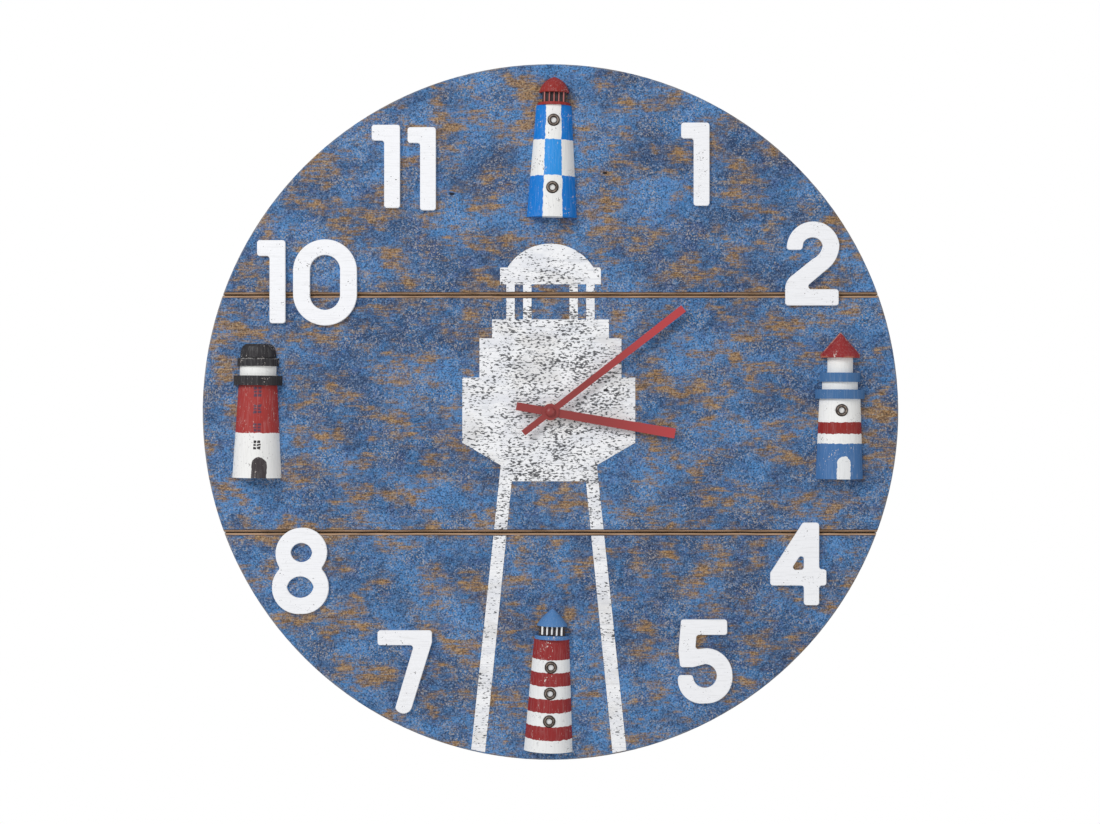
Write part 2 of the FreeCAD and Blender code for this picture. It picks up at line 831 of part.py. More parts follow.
FIVE_SHARES = [
    (-0.289, 0.504),
    (0.265, 0.504),
    (0.265, 0.32),
    (-0.105, 0.32),
    (-0.118, 0.145),
    (0.024, 0.158),
    (0.328, -0.172, 0.247, 0.05),
    (0, -0.504, 0.236, -0.412),
    (-0.328, -0.233, -0.237, -0.43),
    (-0.322, -0.166),
    (-0.145, -0.166),
    (0.141, -0.184, 0.004, -0.317),
    (0, -0.03, 0.1, -0.075),
    (-0.148, -0.068),
    (-0.3, -0.068),
    (-0.32, 0.116),
]
SEVEN_SHARES = [
    (-0.327, 0.5),
    (0.327, 0.5),
    (0.327, 0.355),
    (0.087, -0.42),
    (-0.113, -0.43, -0.024, -0.5),
    (0.111, 0.322),
    (-0.327, 0.322),
]
EIGHT_SHARES = [
    (-0.243, 0.029, -0.341, -0.212),
    (0.012, 0.518, -0.297, 0.235),
    (0.247, 0.029, 0.322, 0.235),
    (0, -0.518, 0.341, -0.212),
]
EIGHT_HOLE_SHARES = (
    [(-0.116, 0.22, 0.013, 0.105), (0.141, 0.22, 0.013, 0.335)],
    [(-0.163, -0.196, -0.002, -0.325), (0.159, -0.196, -0.002, -0.067)],
)
ZERO_SHARES = [(-0.384, 0.134), (0.384, 0.134, 0, 0.518), (0.384, -0.134), (-0.384, -0.134, 0, -0.518)]
ZERO_HOLE_SHARES = [
    (-0.181, 0.149),
    (0.181, 0.149, 0, 0.33),
    (0.181, -0.149),
    (-0.181, -0.149, 0, -0.33),
]
ALONE = (0, 0)
ZERO_STEP_SHARES = (0.647, -0.0084)
SECOND_ONE_STEP_SHARES = (0.4317, -0.0285)
TEN_SPOT = (-0.4007, 0.1869)
ELEVEN_SPOT = (-0.2362, 0.3524)
# each figure's spot on the board, its step from there, its outline and its holes
NUMERALS = {
    "numeral_1": ((0.2079, 0.3556), ALONE, ONE_SHARES),
    "numeral_2": ((0.3758, 0.2131), ALONE, TWO_SHARES),
    "numeral_4": ((0.3557, -0.218), ALONE, FOUR_SHARES, FOUR_HOLE_SHARES),
    "numeral_5": ((0.222, -0.358), ALONE, FIVE_SHARES),
    "numeral_7": ((-0.2091, -0.373), ALONE, SEVEN_SHARES),
    "numeral_8": ((-0.3589, -0.228), ALONE, EIGHT_SHARES, *EIGHT_HOLE_SHARES),
    "numeral_10_one": (TEN_SPOT, ALONE, ONE_SHARES),
    "numeral_10_zero": (TEN_SPOT, ZERO_STEP_SHARES, ZERO_SHARES, ZERO_HOLE_SHARES),
    "numeral_11_left": (ELEVEN_SPOT, ALONE, ONE_SHARES),
    "numeral_11_right": (ELEVEN_SPOT, SECOND_ONE_STEP_SHARES, ONE_SHARES),
}


def scaled(shares, size):
    return [tuple(share * size for share in stop) for stop in shares]


def make_numeral(node, spot, step, *outlines):
    body = new_body(node)
    drawn = [scaled(outline, s.numeral_tall) for outline in outlines]
    pad(body, loops(body, *drawn, lift=BOARD_FRONT), s.numeral_thick)
    solid = body.Tip.Shape
    ease(body, "Fillet", s.numeral_corner, lambda edge: runs_along_y(edge) and is_corner(solid, edge))
    front = BOARD_FRONT + s.numeral_thick
    ease(body, "Chamfer", s.numeral_edge, lambda edge: at_depth(edge, front))
    across, up = (
        share * s.board_diameter + more * s.numeral_tall for share, more in zip(spot, step)
    )
    place(body, across, 0, up - s.dial_drop)
    keep(node, body)


# Lighthouses: each is measured up from its foot, lies with its flat back on the board and leans
# a little. Their pieces are bowed to the front
TOWER_DEPTH_SHARE = 0.36
# where a pointed roof's side bulges: a share of its radius out and of its height above the lip
NORTH_SHOULDER_SHARES = (0.72, 0.54)
SOUTH_SHOULDER_SHARES = (0.58, 0.52)
HALF_TURN = 180


class Tower:
    """Where one lighthouse's foot stands on the board, and how far it leans clockwise."""

    def __init__(self, out_share, up, tilt):
        self.out, self.up, self.tilt = out_share * s.board_diameter, up, tilt

    def stand(self, piece, height=0, across=0, forward=0, turned=True):
        """Set a piece at a height on the tower's axis, and so far across and forward of it."""
        lean, rise = sine(self.tilt), cosine(self.tilt)
        x = self.out + height * lean + across * rise
        z = self.up + height * rise - across * lean - s.dial_drop
        place(piece, x, -BOARD_FRONT - forward, z, self.tilt if turned else None)


# the north foot stands a share of the way from the painted dome to the rim, the south foot near
# the rim, and the east and west lighthouses reach up to a share of the board's diameter
NORTH_GAP_SHARE, SOUTH_FOOT_SHARE, EAST_TOP_SHARE, WEST_TOP_SHARE = 0.145, -0.4866, 0.1134, 0.0976
# how far each foot stands across from the dial's middle, as a share of the board's diameter
NORTH_OUT_SHARE, EAST_OUT_SHARE, SOUTH_OUT_SHARE, WEST_OUT_SHARE = 0.0019, 0.4148, -0.0033, -0.4219
PAINTED_TOP_UP = s.painted_eave_up + s.painted_eave_tall + s.painted_dome_tall
NORTH_FOOT_UP = PAINTED_TOP_UP + NORTH_GAP_SHARE * (BOARD_RADIUS - PAINTED_TOP_UP)
SOUTH_FOOT_UP = SOUTH_FOOT_SHARE * s.board_diameter
EAST_GALLERIES_TALL = s.east_gallery_lower_tall + s.east_drum_tall + s.east_gallery_upper_tall
EAST_WHOLE_TALL = s.east_tall + EAST_GALLERIES_TALL + s.east_lantern_tall + s.east_roof_tall
EAST_FOOT_UP = EAST_TOP_SHARE * s.board_diameter - EAST_WHOLE_TALL
WEST_ROOF_TALL = s.west_roof_rim_tall + s.west_roof_neck_tall + s.west_roof_dome_tall
WEST_WHOLE_TALL = s.west_tall + s.west_gallery_tall + s.west_drum_tall + WEST_ROOF_TALL
WEST_FOOT_UP = WEST_TOP_SHARE * s.board_diameter - WEST_WHOLE_TALL
NORTH = Tower(NORTH_OUT_SHARE, NORTH_FOOT_UP, s.north_tilt)
EAST = Tower(EAST_OUT_SHARE, EAST_FOOT_UP, s.east_tilt)
SOUTH = Tower(SOUTH_OUT_SHARE, SOUTH_FOOT_UP, s.south_tilt)
WEST = Tower(WEST_OUT_SHARE, WEST_FOOT_UP, s.west_tilt)


def bow(wide, deep):
    """A flat back of some width with an arc bowed towards the front, seen from above."""
    return [(wide / 2, 0), (-wide / 2, 0, 0, -deep)]


def bowed_slab(node, tower, height, wide, deep, tall):
    body = new_body(node)
    pad(body, loops(body, bow(wide, deep), role="XY_Plane"), tall)
    tower.stand(body, height)
    return keep(node, body)


def bowed_loft(body, *levels):
    """Bowed sections one above another, (height, width, depth) each, joined by straight sides."""
    sketches = []
    for height, wide, deep in levels:
        sketches.append(loops(body, bow(wide, deep), role="XY_Plane", lift=as_size(height)))
    loft = body.newObject("PartDesign::AdditiveLoft", body.Name + "_loft")
    loft.Profile = sketches[0]
    loft.Sections = sketches[1:]
    loft.Ruled = True
    doc.recompute()
    return loft


def tower_body(node, tower, tall, bottom_wide, top_wide, ring_heights=()):
    """A tapered tower, with a round flat seat cut in its front for each porthole ring."""
    body = new_body(node)
    bottom_deep, top_deep = bottom_wide * TOWER_DEPTH_SHARE, top_wide * TOWER_DEPTH_SHARE
    bowed_loft(body, (0, bottom_wide, bottom_deep), (tall, top_wide, top_deep))
    for height in ring_heights:
        level = ring_level(height, tall, bottom_deep, top_deep)
        seat = s.ring_outside_diameter + 2 * s.ring_clearance
        sketch = circles(body, (0, height, seat), lift=level)
        pocket(body, sketch, bottom_deep, reverse=True)
    tower.stand(body)
    return keep(node, body)


def ring_level(height, tall, bottom_deep, top_deep):
    """How far in front of the board the seat of a ring lies, a little behind the tower's front."""
    return bottom_deep + (top_deep - bottom_deep) * height / tall - s.ring_seat_deep


def lantern_bars(node, tower, height, count, diameter, pitch, tall, deep):
    """A row of thin upright rods standing against the front of the lantern."""
    bars = []
    for number in range(count):
        bar = doc.addObject("Part::Cylinder", "%s_%d" % (node, number + 1))
        bar.setExpression("Radius", (diameter / 2).formula)
        bar.setExpression("Height", tall.formula)
        across = (number - (count - 1) / 2) * pitch
        tower.stand(bar, height, across, deep + diameter / 2)
        bars.append(bar)
    grouped(node, bars)


def lantern_block(node, tower, height, wide, deep, tall):
    body = new_body(node)
    half = wide / 2
    pad(body, loops(body, box_stops(-half, half, -deep, 0), role="XY_Plane"), tall)
    tower.stand(body, height)
    return keep(node, body)


def pointed_dome(node, tower, height, shoulder_shares, wide, tall, lip):
    """Half of a turned dome: a low upright lip, round shoulders and a point."""
    body = new_body(node)
    radius = wide / 2
    out_share, up_share = shoulder_shares
    shoulder = out_share * radius, lip + (tall - lip) * up_share
    outline = [(0, 0), (radius, 0), (radius, lip), (s.roof_tip_wide / 2, tall, *shoulder)]
    sketch = loops(body, outline + [(0, tall)])
    feature = revolve(body, sketch, "V_Axis", HALF_TURN)
    if feature.Shape.BoundBox.YMax > radius.value / 2:
        feature.Reversed = True
        doc.recompute()
    tower.stand(body, height)
    return keep(node, body)


def make_north():
    rings = (s.north_low_ring_up, s.north_high_ring_up)
    tower_body("north_tower", NORTH, s.north_tall, s.north_bottom_wide, s.north_top_wide, rings)
    up = s.north_tall
    slab = (s.north_gallery_wide, s.north_gallery_deep, s.north_gallery_tall)
    bowed_slab("north_gallery", NORTH, up, *slab)
    up = up + s.north_gallery_tall
    block = (s.north_lantern_wide, s.north_lantern_deep, s.north_lantern_tall)
    lantern_block("north_lantern", NORTH, up, *block)
    bars = (s.north_bar_diameter, s.north_bar_pitch, s.north_lantern_tall, s.north_lantern_deep)
    lantern_bars("north_bars", NORTH, up, NORTH_BARS, *bars)
    up = up + s.north_lantern_tall
    dome = (s.north_roof_wide, s.north_roof_tall, s.north_roof_lip)
    pointed_dome("north_roof", NORTH, up, NORTH_SHOULDER_SHARES, *dome)


def make_south():
    rings = (s.south_low_ring_up, s.south_middle_ring_up, s.south_high_ring_up)
    tower_body("south_tower", SOUTH, s.south_tall, s.south_bottom_wide, s.south_top_wide, rings)
    up = s.south_tall
    slab = (s.south_gallery_wide, s.south_gallery_deep, s.south_gallery_tall)
    bowed_slab("south_gallery", SOUTH, up, *slab)
    up = up + s.south_gallery_tall
    block = (s.south_lantern_wide, s.south_lantern_deep, s.south_lantern_tall)
    lantern_block("south_lantern", SOUTH, up, *block)
    bars = (s.south_bar_diameter, s.south_bar_pitch, s.south_lantern_tall, s.south_lantern_deep)
    lantern_bars("south_bars", SOUTH, up, SOUTH_BARS, *bars)
    up = up + s.south_lantern_tall
    dome = (s.south_roof_wide, s.south_roof_tall, s.south_roof_lip)
    pointed_dome("south_roof", SOUTH, up, SOUTH_SHOULDER_SHARES, *dome)


def make_east():
    rings = (s.east_ring_up,)
    tower_body("east_tower", EAST, s.east_tall, s.east_bottom_wide, s.east_top_wide, rings)
    up = s.east_tall
    for node in ("east_gallery_lower", "east_drum", "east_gallery_upper"):
        wide, deep, tall = (getattr(s, node + end) for end in ("_wide", "_deep", "_tall"))
        bowed_slab(node, EAST, up, wide, deep, tall)
        up = up + tall
    block = (s.east_lantern_wide, s.east_lantern_deep, s.east_lantern_tall)
    bowed_slab("east_lantern", EAST, up, *block)
    up = up + s.east_lantern_tall
    roof = new_body("east_roof")
    wide, deep, tip = s.east_roof_wide, s.east_roof_deep, s.east_roof_tip_wide
    tip_deep = tip * deep / wide
    bowed_loft(roof, (0, wide, deep), (s.east_roof_lip, wide, deep), (s.east_roof_tall, tip, tip_deep))
    EAST.stand(roof, up)
    keep("east_roof", roof)


# widths and heights up a flattened dome, as shares of its width's and height's whole change
WEST_DOME_SHARES = ((0, 0), (0.12, 0.45), (0.42, 0.82), (1, 1))


def make_west():
    tower_body("west_tower", WEST, s.west_tall, s.west_bottom_wide, s.west_top_wide)
    up = s.west_tall
    for node in ("west_gallery", "west_drum"):
        wide, deep, tall = (getattr(s, node + end) for end in ("_wide", "_deep", "_tall"))
        bowed_slab(node, WEST, up, wide, deep, tall)
        up = up + tall
    # a rim, a narrow neck that leaves a groove above it, and the dome
    roof = new_body("west_roof")
    rim, rim_tall = s.west_roof_rim_wide, s.west_roof_rim_tall
    pad(roof, loops(roof, bow(rim, rim * TOWER_DEPTH_SHARE), role="XY_Plane"), rim_tall)
    neck = bow(s.west_roof_neck_wide, s.west_roof_neck_wide * TOWER_DEPTH_SHARE)
    pad(roof, loops(roof, neck, role="XY_Plane", lift=rim_tall), s.west_roof_neck_tall)
    dome_up = rim_tall + s.west_roof_neck_tall
    levels = []
    for narrower, higher in WEST_DOME_SHARES:
        wide = s.west_roof_dome_wide - narrower * (s.west_roof_dome_wide - s.west_roof_top_wide)
        levels.append((dome_up + higher * s.west_roof_dome_tall, wide, wide * TOWER_DEPTH_SHARE))
    for low, high in zip(levels, levels[1:]):
        bowed_loft(roof, low, high)
    WEST.stand(roof, up)
    keep("west_roof", roof)


def make_porthole_rings():
    """Six identical iron rings, each sunk a little into the front of its tower."""
    ring = new_body("one_porthole_ring")
    inner, outer = s.ring_hole_diameter / 2, s.ring_outside_diameter / 2
    middle, thick = (inner + outer) / 2, s.ring_thick
    outline = [(0, inner), (0, outer), (-thick / 2, outer), (-thick / 2, inner, -thick, middle)]
    revolve(ring, loops(ring, outline, role="YZ_Plane"), "H_Axis")
    north = (NORTH, s.north_tall, s.north_bottom_wide, s.north_top_wide)
    east = (EAST, s.east_tall, s.east_bottom_wide, s.east_top_wide)
    south = (SOUTH, s.south_tall, s.south_bottom_wide, s.south_top_wide)
    homes = [(s.north_low_ring_up, *north), (s.north_high_ring_up, *north), (s.east_ring_up, *east)]
    for height in (s.south_low_ring_up, s.south_middle_ring_up, s.south_high_ring_up):
        homes.append((height, *south))
    for link, home in zip(twins("porthole_rings", ring, len(homes)), homes):
        height, tower, tall, bottom, top = home
        depths = bottom * TOWER_DEPTH_SHARE, top * TOWER_DEPTH_SHARE
        tower.stand(link, height, 0, ring_level(height, tall, *depths))


# Depths in front of the wall, from the case's back to the tip of the cap nut
CASE_FRONT = BOARD_BACK - s.rubber_washer_thick
CASE_BACK = CASE_FRONT - s.case_deep
CASE_FLOOR = CASE_FRONT - s.case_wall
COVER_FRONT = CASE_BACK + s.cover_thick
PAINT_FRONT = BOARD_FRONT + s.paint_thick
BRASS_FRONT = PAINT_FRONT + s.brass_washer_thick
SHAFT_END = CASE_FRONT + s.shaft_long
HOUR_HAND_BACK = SHAFT_END + s.layer_gap
HOUR_HAND_FRONT = HOUR_HAND_BACK + s.hub_boss_tall + s.hand_thick
MINUTE_HAND_BACK = HOUR_HAND_FRONT + s.layer_gap + s.running_clearance
MINUTE_HAND_FRONT = MINUTE_HAND_BACK + s.hand_thick
CAP_BORE_DEEP = s.cap_nut_tall - s.cap_nut_skirt / 2
CAP_ROUND_SHARE = 0.7


def ring(node, outside, inside, back, thick):
    """A flat washer round the dial's axis."""
    body = new_body(node)
    sketch = circles(body, (0, 0, outside), (0, 0, inside), lift=back)
    pad(body, sketch, thick)
    place(body, 0, 0, -s.dial_drop)
    return keep(node, body)


def make_clamp():
    """Rubber washer behind the board, and the brass washer and hexagonal nut in front of it."""
    hole = s.shaft_diameter + 2 * s.fit_gap
    ring("rubber_washer", s.rubber_washer_diameter, hole, CASE_FRONT, s.rubber_washer_thick)
    ring("brass_washer", s.brass_washer_diameter, hole, PAINT_FRONT, s.brass_washer_thick)
    nut = new_body("shaft_nut")
    corner = s.nut_across_flats / root(as_size(3))
    half = s.nut_across_flats / 2
    hexagon = [(corner, 0), (corner / 2, half), (-corner / 2, half), (-corner, 0)]
    hexagon += [(-corner / 2, -half), (corner / 2, -half)]
    pad(nut, loops(nut, hexagon, lift=BRASS_FRONT), s.nut_thick)
    pocket(nut, circles(nut, (0, 0, hole), lift=BRASS_FRONT), reverse=True)
    place(nut, 0, 0, -s.dial_drop)
    keep("shaft_nut", nut)


def make_hand(node, back, bore, boss_tall=None):
    """A flared square-ended hand with a round hub; its back is that far in front of the wall."""
    body = new_body(node)
    plate_back = back if boss_tall is None else back + boss_tall
    long, tail = getattr(s, node + "_long"), getattr(s, node + "_tail")
    tip, hub, end = (getattr(s, node + part) / 2 for part in ("_tip_wide", "_hub_wide", "_tail_wide"))
    outline = [(-tip, long), (tip, long), (hub, 0), (end, -tail), (-end, -tail), (-hub, 0)]
    pad(body, loops(body, outline, lift=plate_back), s.hand_thick)
    pad(body, circles(body, (0, 0, s.hand_hub_diameter), lift=plate_back), s.hand_thick)
    if boss_tall is not None:
        pad(body, circles(body, (0, 0, s.hub_boss_diameter), lift=back), boss_tall)
    pocket(body, circles(body, (0, 0, bore), lift=back), reverse=True)
    place(body, 0, 0, -s.dial_drop, getattr(s, node + "_angle"))
    keep(node, body)


def make_cap_nut():
    """Small domed nut that holds the minute hand, closed in front."""
    body = new_body("cap_nut")
    radius, bore = s.cap_nut_diameter / 2, s.minute_thread_diameter / 2 + s.fit_gap
    tall, skirt = s.cap_nut_tall, s.cap_nut_skirt
    shoulder = -skirt - (tall - skirt) * CAP_ROUND_SHARE, radius * CAP_ROUND_SHARE
    outline = [(0, bore), (0, radius), (-skirt, radius), (-tall, s.cap_nut_flat / 2, *shoulder)]
    outline += [(-tall, 0), (-CAP_BORE_DEEP, 0), (-CAP_BORE_DEEP, bore)]
    revolve(body, loops(body, outline, role="YZ_Plane"), "H_Axis")
    place(body, 0, -MINUTE_HAND_FRONT, -s.dial_drop)
    keep("cap_nut", body)


# Wheels: each is set in a layer behind the front wall of the case. Centre distances and the
# places of the arbors follow from the tooth counts, so that every pair stays in mesh
PRESSURE_DEGREES = 20
ADDENDUM_SHARE = 0.75
DEDENDUM_SHARE = 1.05
TOOTH_SHARE = 0.4
GRIP_FLUTES = 24
GRIP_DEPTH_SHARE = 0.06
KNOB_SHAFT_SHARE = 1.5
DIAL_AXIS = (as_size(0), as_size(0))


def layer(number):
    """Front of a wheel's layer, counted from the one behind the case's front wall."""
    return CASE_FLOOR - s.layer_gap - number * (s.wheel_thick + s.layer_gap)


HOUR_LAYER, MINUTE_LAYER, CENTRE_LAYER, THIRD_LAYER, INTERMEDIATE_LAYER, MAGNET_LAYER = (
    layer(number) for number in range(6)
)


def beyond(start, angle, teeth, other_teeth, module):
    """Where a wheel's axis lies, at an angle from the axis of the wheel that it meshes with."""
    away = (teeth + other_teeth) / 2 * module
    return start[0] + away * cosine(angle), start[1] + away * sine(angle)


MINUTE_AXIS = beyond(DIAL_AXIS, s.minute_wheel_angle, CANNON_TEETH, MINUTE_TEETH, s.motion_module)
KNOB_AXIS = beyond(MINUTE_AXIS, s.knob_angle, MINUTE_TEETH, KNOB_TEETH, s.motion_module)
THIRD_AXIS = beyond(DIAL_AXIS, s.third_wheel_angle, CENTRE_TEETH, PINION_TEETH, s.train_module)
INTERMEDIATE_AXIS = beyond(
    THIRD_AXIS, s.intermediate_wheel_angle, THIRD_TEETH, PINION_TEETH, s.train_module
)
ROTOR_AXIS = beyond(INTERMEDIATE_AXIS, s.rotor_angle, INTERMEDIATE_TEETH, PINION_TEETH, s.train_module)


def in_mesh(angle, teeth, turned, other_teeth):
    """How far a wheel is turned so that its gap meets a tooth of the one that drives it."""
    direction = math.radians(float(angle))
    offset = (direction - turned) * teeth / math.tau
    return direction + math.pi - (0.5 - offset) * math.tau / other_teeth


def involute(angle):
    return math.tan(angle) - angle


def tooth_half_angle(radius, pitch, base, teeth):
    """Half the angle that a tooth takes up at a radius, along its involute flank."""
    at_pitch = TOOTH_SHARE * math.pi / teeth + involute(math.radians(PRESSURE_DEGREES))
    return at_pitch - involute(math.acos(min(1, base / max(radius, base))))


def toothed(teeth, module, front, thick, turned=0):
    """A gear rim as a solid, from its front face backwards, centred on its own axis."""
    pitch = module.value * teeth / 2
    base = pitch * math.cos(math.radians(PRESSURE_DEGREES))
    low, tip = pitch - DEDENDUM_SHARE * module.value, pitch + ADDENDUM_SHARE * module.value
    radii = [low, pitch, tip] if base < low else [low, base, pitch, tip]
    halves = [tooth_half_angle(radius, pitch, base, teeth) for radius in radii]
    points = []
    for number in range(teeth):
        middle = turned + math.tau * number / teeth
        rising = [(radius, middle - half) for radius, half in zip(radii, halves)]
        falling = [(radius, middle + half) for radius, half in zip(radii, halves)]
        for radius, angle in rising + falling[::-1]:
            points.append(Vector(radius * math.cos(angle), -front.value, radius * math.sin(angle)))
    rim = Part.Face(Part.makePolygon(points + points[:1]))
    return rim.extrude(Vector(0, thick.value, 0))


def rod(diameter, front, back):
    """A round rod on the wheel's axis between two depths in front of the wall."""
    length = front.value - back.value
    return Part.makeCylinder(diameter.value / 2, length, Vector(0, -front.value, 0), Vector(0, 1, 0))


ARBOR_FRONT = CASE_FLOOR - s.front_boss_tall - s.fit_gap
ARBOR_BACK = COVER_FRONT + s.rear_boss_tall + s.fit_gap


def pivoted_arbor():
    """An arbor between the case and the cover, with a thinner pivot at each end."""
    shaft = rod(s.arbor_diameter, ARBOR_FRONT, ARBOR_BACK)
    pivots = rod(s.pivot_diameter, ARBOR_FRONT + s.pivot_long, ARBOR_BACK - s.pivot_long)
    return shaft.fuse(pivots)


def place_wheel(node, shape, axis):
    wheel = doc.addObject("Part::Feature", node)
    wheel.Shape = shape.removeSplitter()
    place(wheel, axis[0], 0, axis[1] - s.dial_drop)
    keep(node, wheel)


def driven_wheel(node, axis, pinion_layer, pinion_turned, wheel_layer, teeth):
    """A wheel of the going train, with the pinion that the wheel before it meshes with."""
    spare = s.layer_gap / 2
    pinion_front = pinion_layer + spare
    pinion_thick = pinion_front - wheel_layer + spare
    shape = pivoted_arbor().fuse(
        [
            toothed(PINION_TEETH, s.train_module, pinion_front, pinion_thick, pinion_turned),
            toothed(teeth, s.train_module, wheel_layer, s.wheel_thick),
        ]
    )
    place_wheel(node, shape, axis)


def make_going_train():
    centre = toothed(CENTRE_TEETH, s.train_module, CENTRE_LAYER, s.wheel_thick)
    bore = rod(s.arbor_diameter + 2 * s.fit_gap, CENTRE_LAYER, CENTRE_LAYER - s.wheel_thick)
    place_wheel("centre_wheel", centre.cut(bore), DIAL_AXIS)
    turned = in_mesh(s.third_wheel_angle, CENTRE_TEETH, 0, PINION_TEETH)
    driven_wheel("third_wheel", THIRD_AXIS, CENTRE_LAYER, turned, THIRD_LAYER, THIRD_TEETH)
    turned = in_mesh(s.intermediate_wheel_angle, THIRD_TEETH, 0, PINION_TEETH)
    layers = (THIRD_LAYER, turned, INTERMEDIATE_LAYER)
    driven_wheel("intermediate_wheel", INTERMEDIATE_AXIS, *layers, INTERMEDIATE_TEETH)
    turned = in_mesh(s.rotor_angle, INTERMEDIATE_TEETH, 0, PINION_TEETH)
    front = INTERMEDIATE_LAYER + s.layer_gap / 2
    pinion = toothed(PINION_TEETH, s.train_module, front, front - MAGNET_LAYER, turned)
    magnet = rod(s.magnet_diameter, MAGNET_LAYER, MAGNET_LAYER - s.magnet_tall)
    place_wheel("rotor", pivoted_arbor().fuse([pinion, magnet]), ROTOR_AXIS)


MINUTE_TURNED = in_mesh(s.minute_wheel_angle, CANNON_TEETH, 0, MINUTE_TEETH)


def make_motion_work():
    """The arbor that carries the minute hand, and the wheels that slow it twelve times."""
    module, thick = s.motion_module, s.wheel_thick
    back = MINUTE_LAYER - thick
    shape = rod(s.minute_pipe_diameter, MINUTE_HAND_BACK, back).fuse(
        [
            toothed(CANNON_TEETH, module, MINUTE_LAYER, thick),
            rod(s.minute_thread_diameter, MINUTE_HAND_FRONT + CAP_BORE_DEEP - s.fit_gap, back),
            rod(s.arbor_diameter, MINUTE_LAYER, ARBOR_BACK),
            rod(s.pivot_diameter, MINUTE_LAYER, ARBOR_BACK - s.pivot_long),
        ]
    )
    place_wheel("minute_arbor", shape, DIAL_AXIS)
    turned = in_mesh(s.minute_wheel_angle, HOUR_TEETH, 0, MINUTE_PINION_TEETH)
    pinion = toothed(MINUTE_PINION_TEETH, module, HOUR_LAYER, HOUR_LAYER - MINUTE_LAYER, turned)
    wheel = toothed(MINUTE_TEETH, module, MINUTE_LAYER, thick, MINUTE_TURNED)
    bore = rod(s.arbor_diameter + 2 * s.running_clearance, HOUR_LAYER, back)
    place_wheel("minute_wheel", wheel.fuse(pinion).cut(bore), MINUTE_AXIS)
    pipe = rod(s.hour_pipe_diameter, HOUR_HAND_FRONT + s.fit_gap, HOUR_LAYER - thick)
    hour = toothed(HOUR_TEETH, module, HOUR_LAYER, thick).fuse(pipe)
    bore = rod(s.minute_pipe_diameter + 2 * s.running_clearance, MINUTE_HAND_BACK, MINUTE_LAYER)
    place_wheel("hour_wheel", hour.cut(bore), DIAL_AXIS)


def make_setting_knob():
    """Fluted knob behind the cover, whose shaft's pinion turns the minute wheel."""
    front, back = CASE_BACK - s.knob_gap, CASE_BACK - s.knob_gap - s.knob_thick
    turned = in_mesh(s.knob_angle, MINUTE_TEETH, MINUTE_TURNED, KNOB_TEETH)
    flute = s.knob_diameter * GRIP_DEPTH_SHARE
    grip = rod(s.knob_diameter, front, back)
    flutes = []
    for number in range(GRIP_FLUTES):
        angle = math.tau * number / GRIP_FLUTES
        cutter = rod(flute, front, back)
        reach = s.knob_diameter.value / 2
        cutter.translate(Vector(reach * math.cos(angle), 0, reach * math.sin(angle)))
        flutes.append(cutter)
    shape = grip.cut(flutes).fuse(
        [
            rod(s.arbor_diameter * KNOB_SHAFT_SHARE, MINUTE_LAYER, back),
            toothed(KNOB_TEETH, s.motion_module, MINUTE_LAYER, s.wheel_thick, turned),
            rod(s.arbor_diameter, ARBOR_FRONT, MINUTE_LAYER),
            rod(s.pivot_diameter, ARBOR_FRONT + s.pivot_long, MINUTE_LAYER),
        ]
    )
    place_wheel("setting_knob", shape, KNOB_AXIS)


# Stepping motor: the stator plate frames the rotor, and the coil's core bridges its two legs
QUARTER_TURN = 90
STATOR_MIDDLE = MAGNET_LAYER - s.magnet_tall / 2
STATOR_BACK = STATOR_MIDDLE - s.stator_thick / 2
STATOR_HALF = s.magnet_diameter / 2 + s.stator_bore_gap + s.stator_rim
STATOR_LOW = ROTOR_AXIS[1] - STATOR_HALF
CASE_INSIDE = s.case_wide / 2 - s.case_wall
COIL_UP = CASE_INSIDE - s.coil_wall_gap - s.coil_diameter / 2
CORE_TOP = COIL_UP + s.core_wide / 2
TAB_RIGHT = ROTOR_AXIS[0] + STATOR_HALF
TAB_LEFT = TAB_RIGHT - s.stator_bar
COIL_LEFT = TAB_RIGHT + s.coil_wall_gap
COIL_RIGHT = COIL_LEFT + s.coil_long
RIGHT_LEG = COIL_RIGHT + s.coil_wall_gap
STATOR_RIGHT = RIGHT_LEG + s.stator_bar
STATOR_POSTS = [
    (ROTOR_AXIS[0] - STATOR_HALF + s.stator_post_diameter / 2, ROTOR_AXIS[1] + STATOR_HALF / 2),
    (STATOR_RIGHT - s.stator_bar / 2, STATOR_LOW + s.stator_bar / 2),
]
CIRCUIT_FRONT = STATOR_BACK - s.circuit_gap
CIRCUIT_BACK = CIRCUIT_FRONT - s.circuit_thick
CIRCUIT_LEFT = TAB_RIGHT + s.circuit_gap
CIRCUIT_RIGHT = CIRCUIT_LEFT + s.circuit_wide
CIRCUIT_LOW = STATOR_LOW
CIRCUIT_TOP = CIRCUIT_LOW + s.circuit_tall
POST_INSET = s.circuit_margin + s.stator_post_diameter / 2
CIRCUIT_POSTS = [
    (CIRCUIT_LEFT + POST_INSET, CIRCUIT_TOP - POST_INSET),
    (CIRCUIT_RIGHT - POST_INSET, CIRCUIT_LOW + POST_INSET),
]


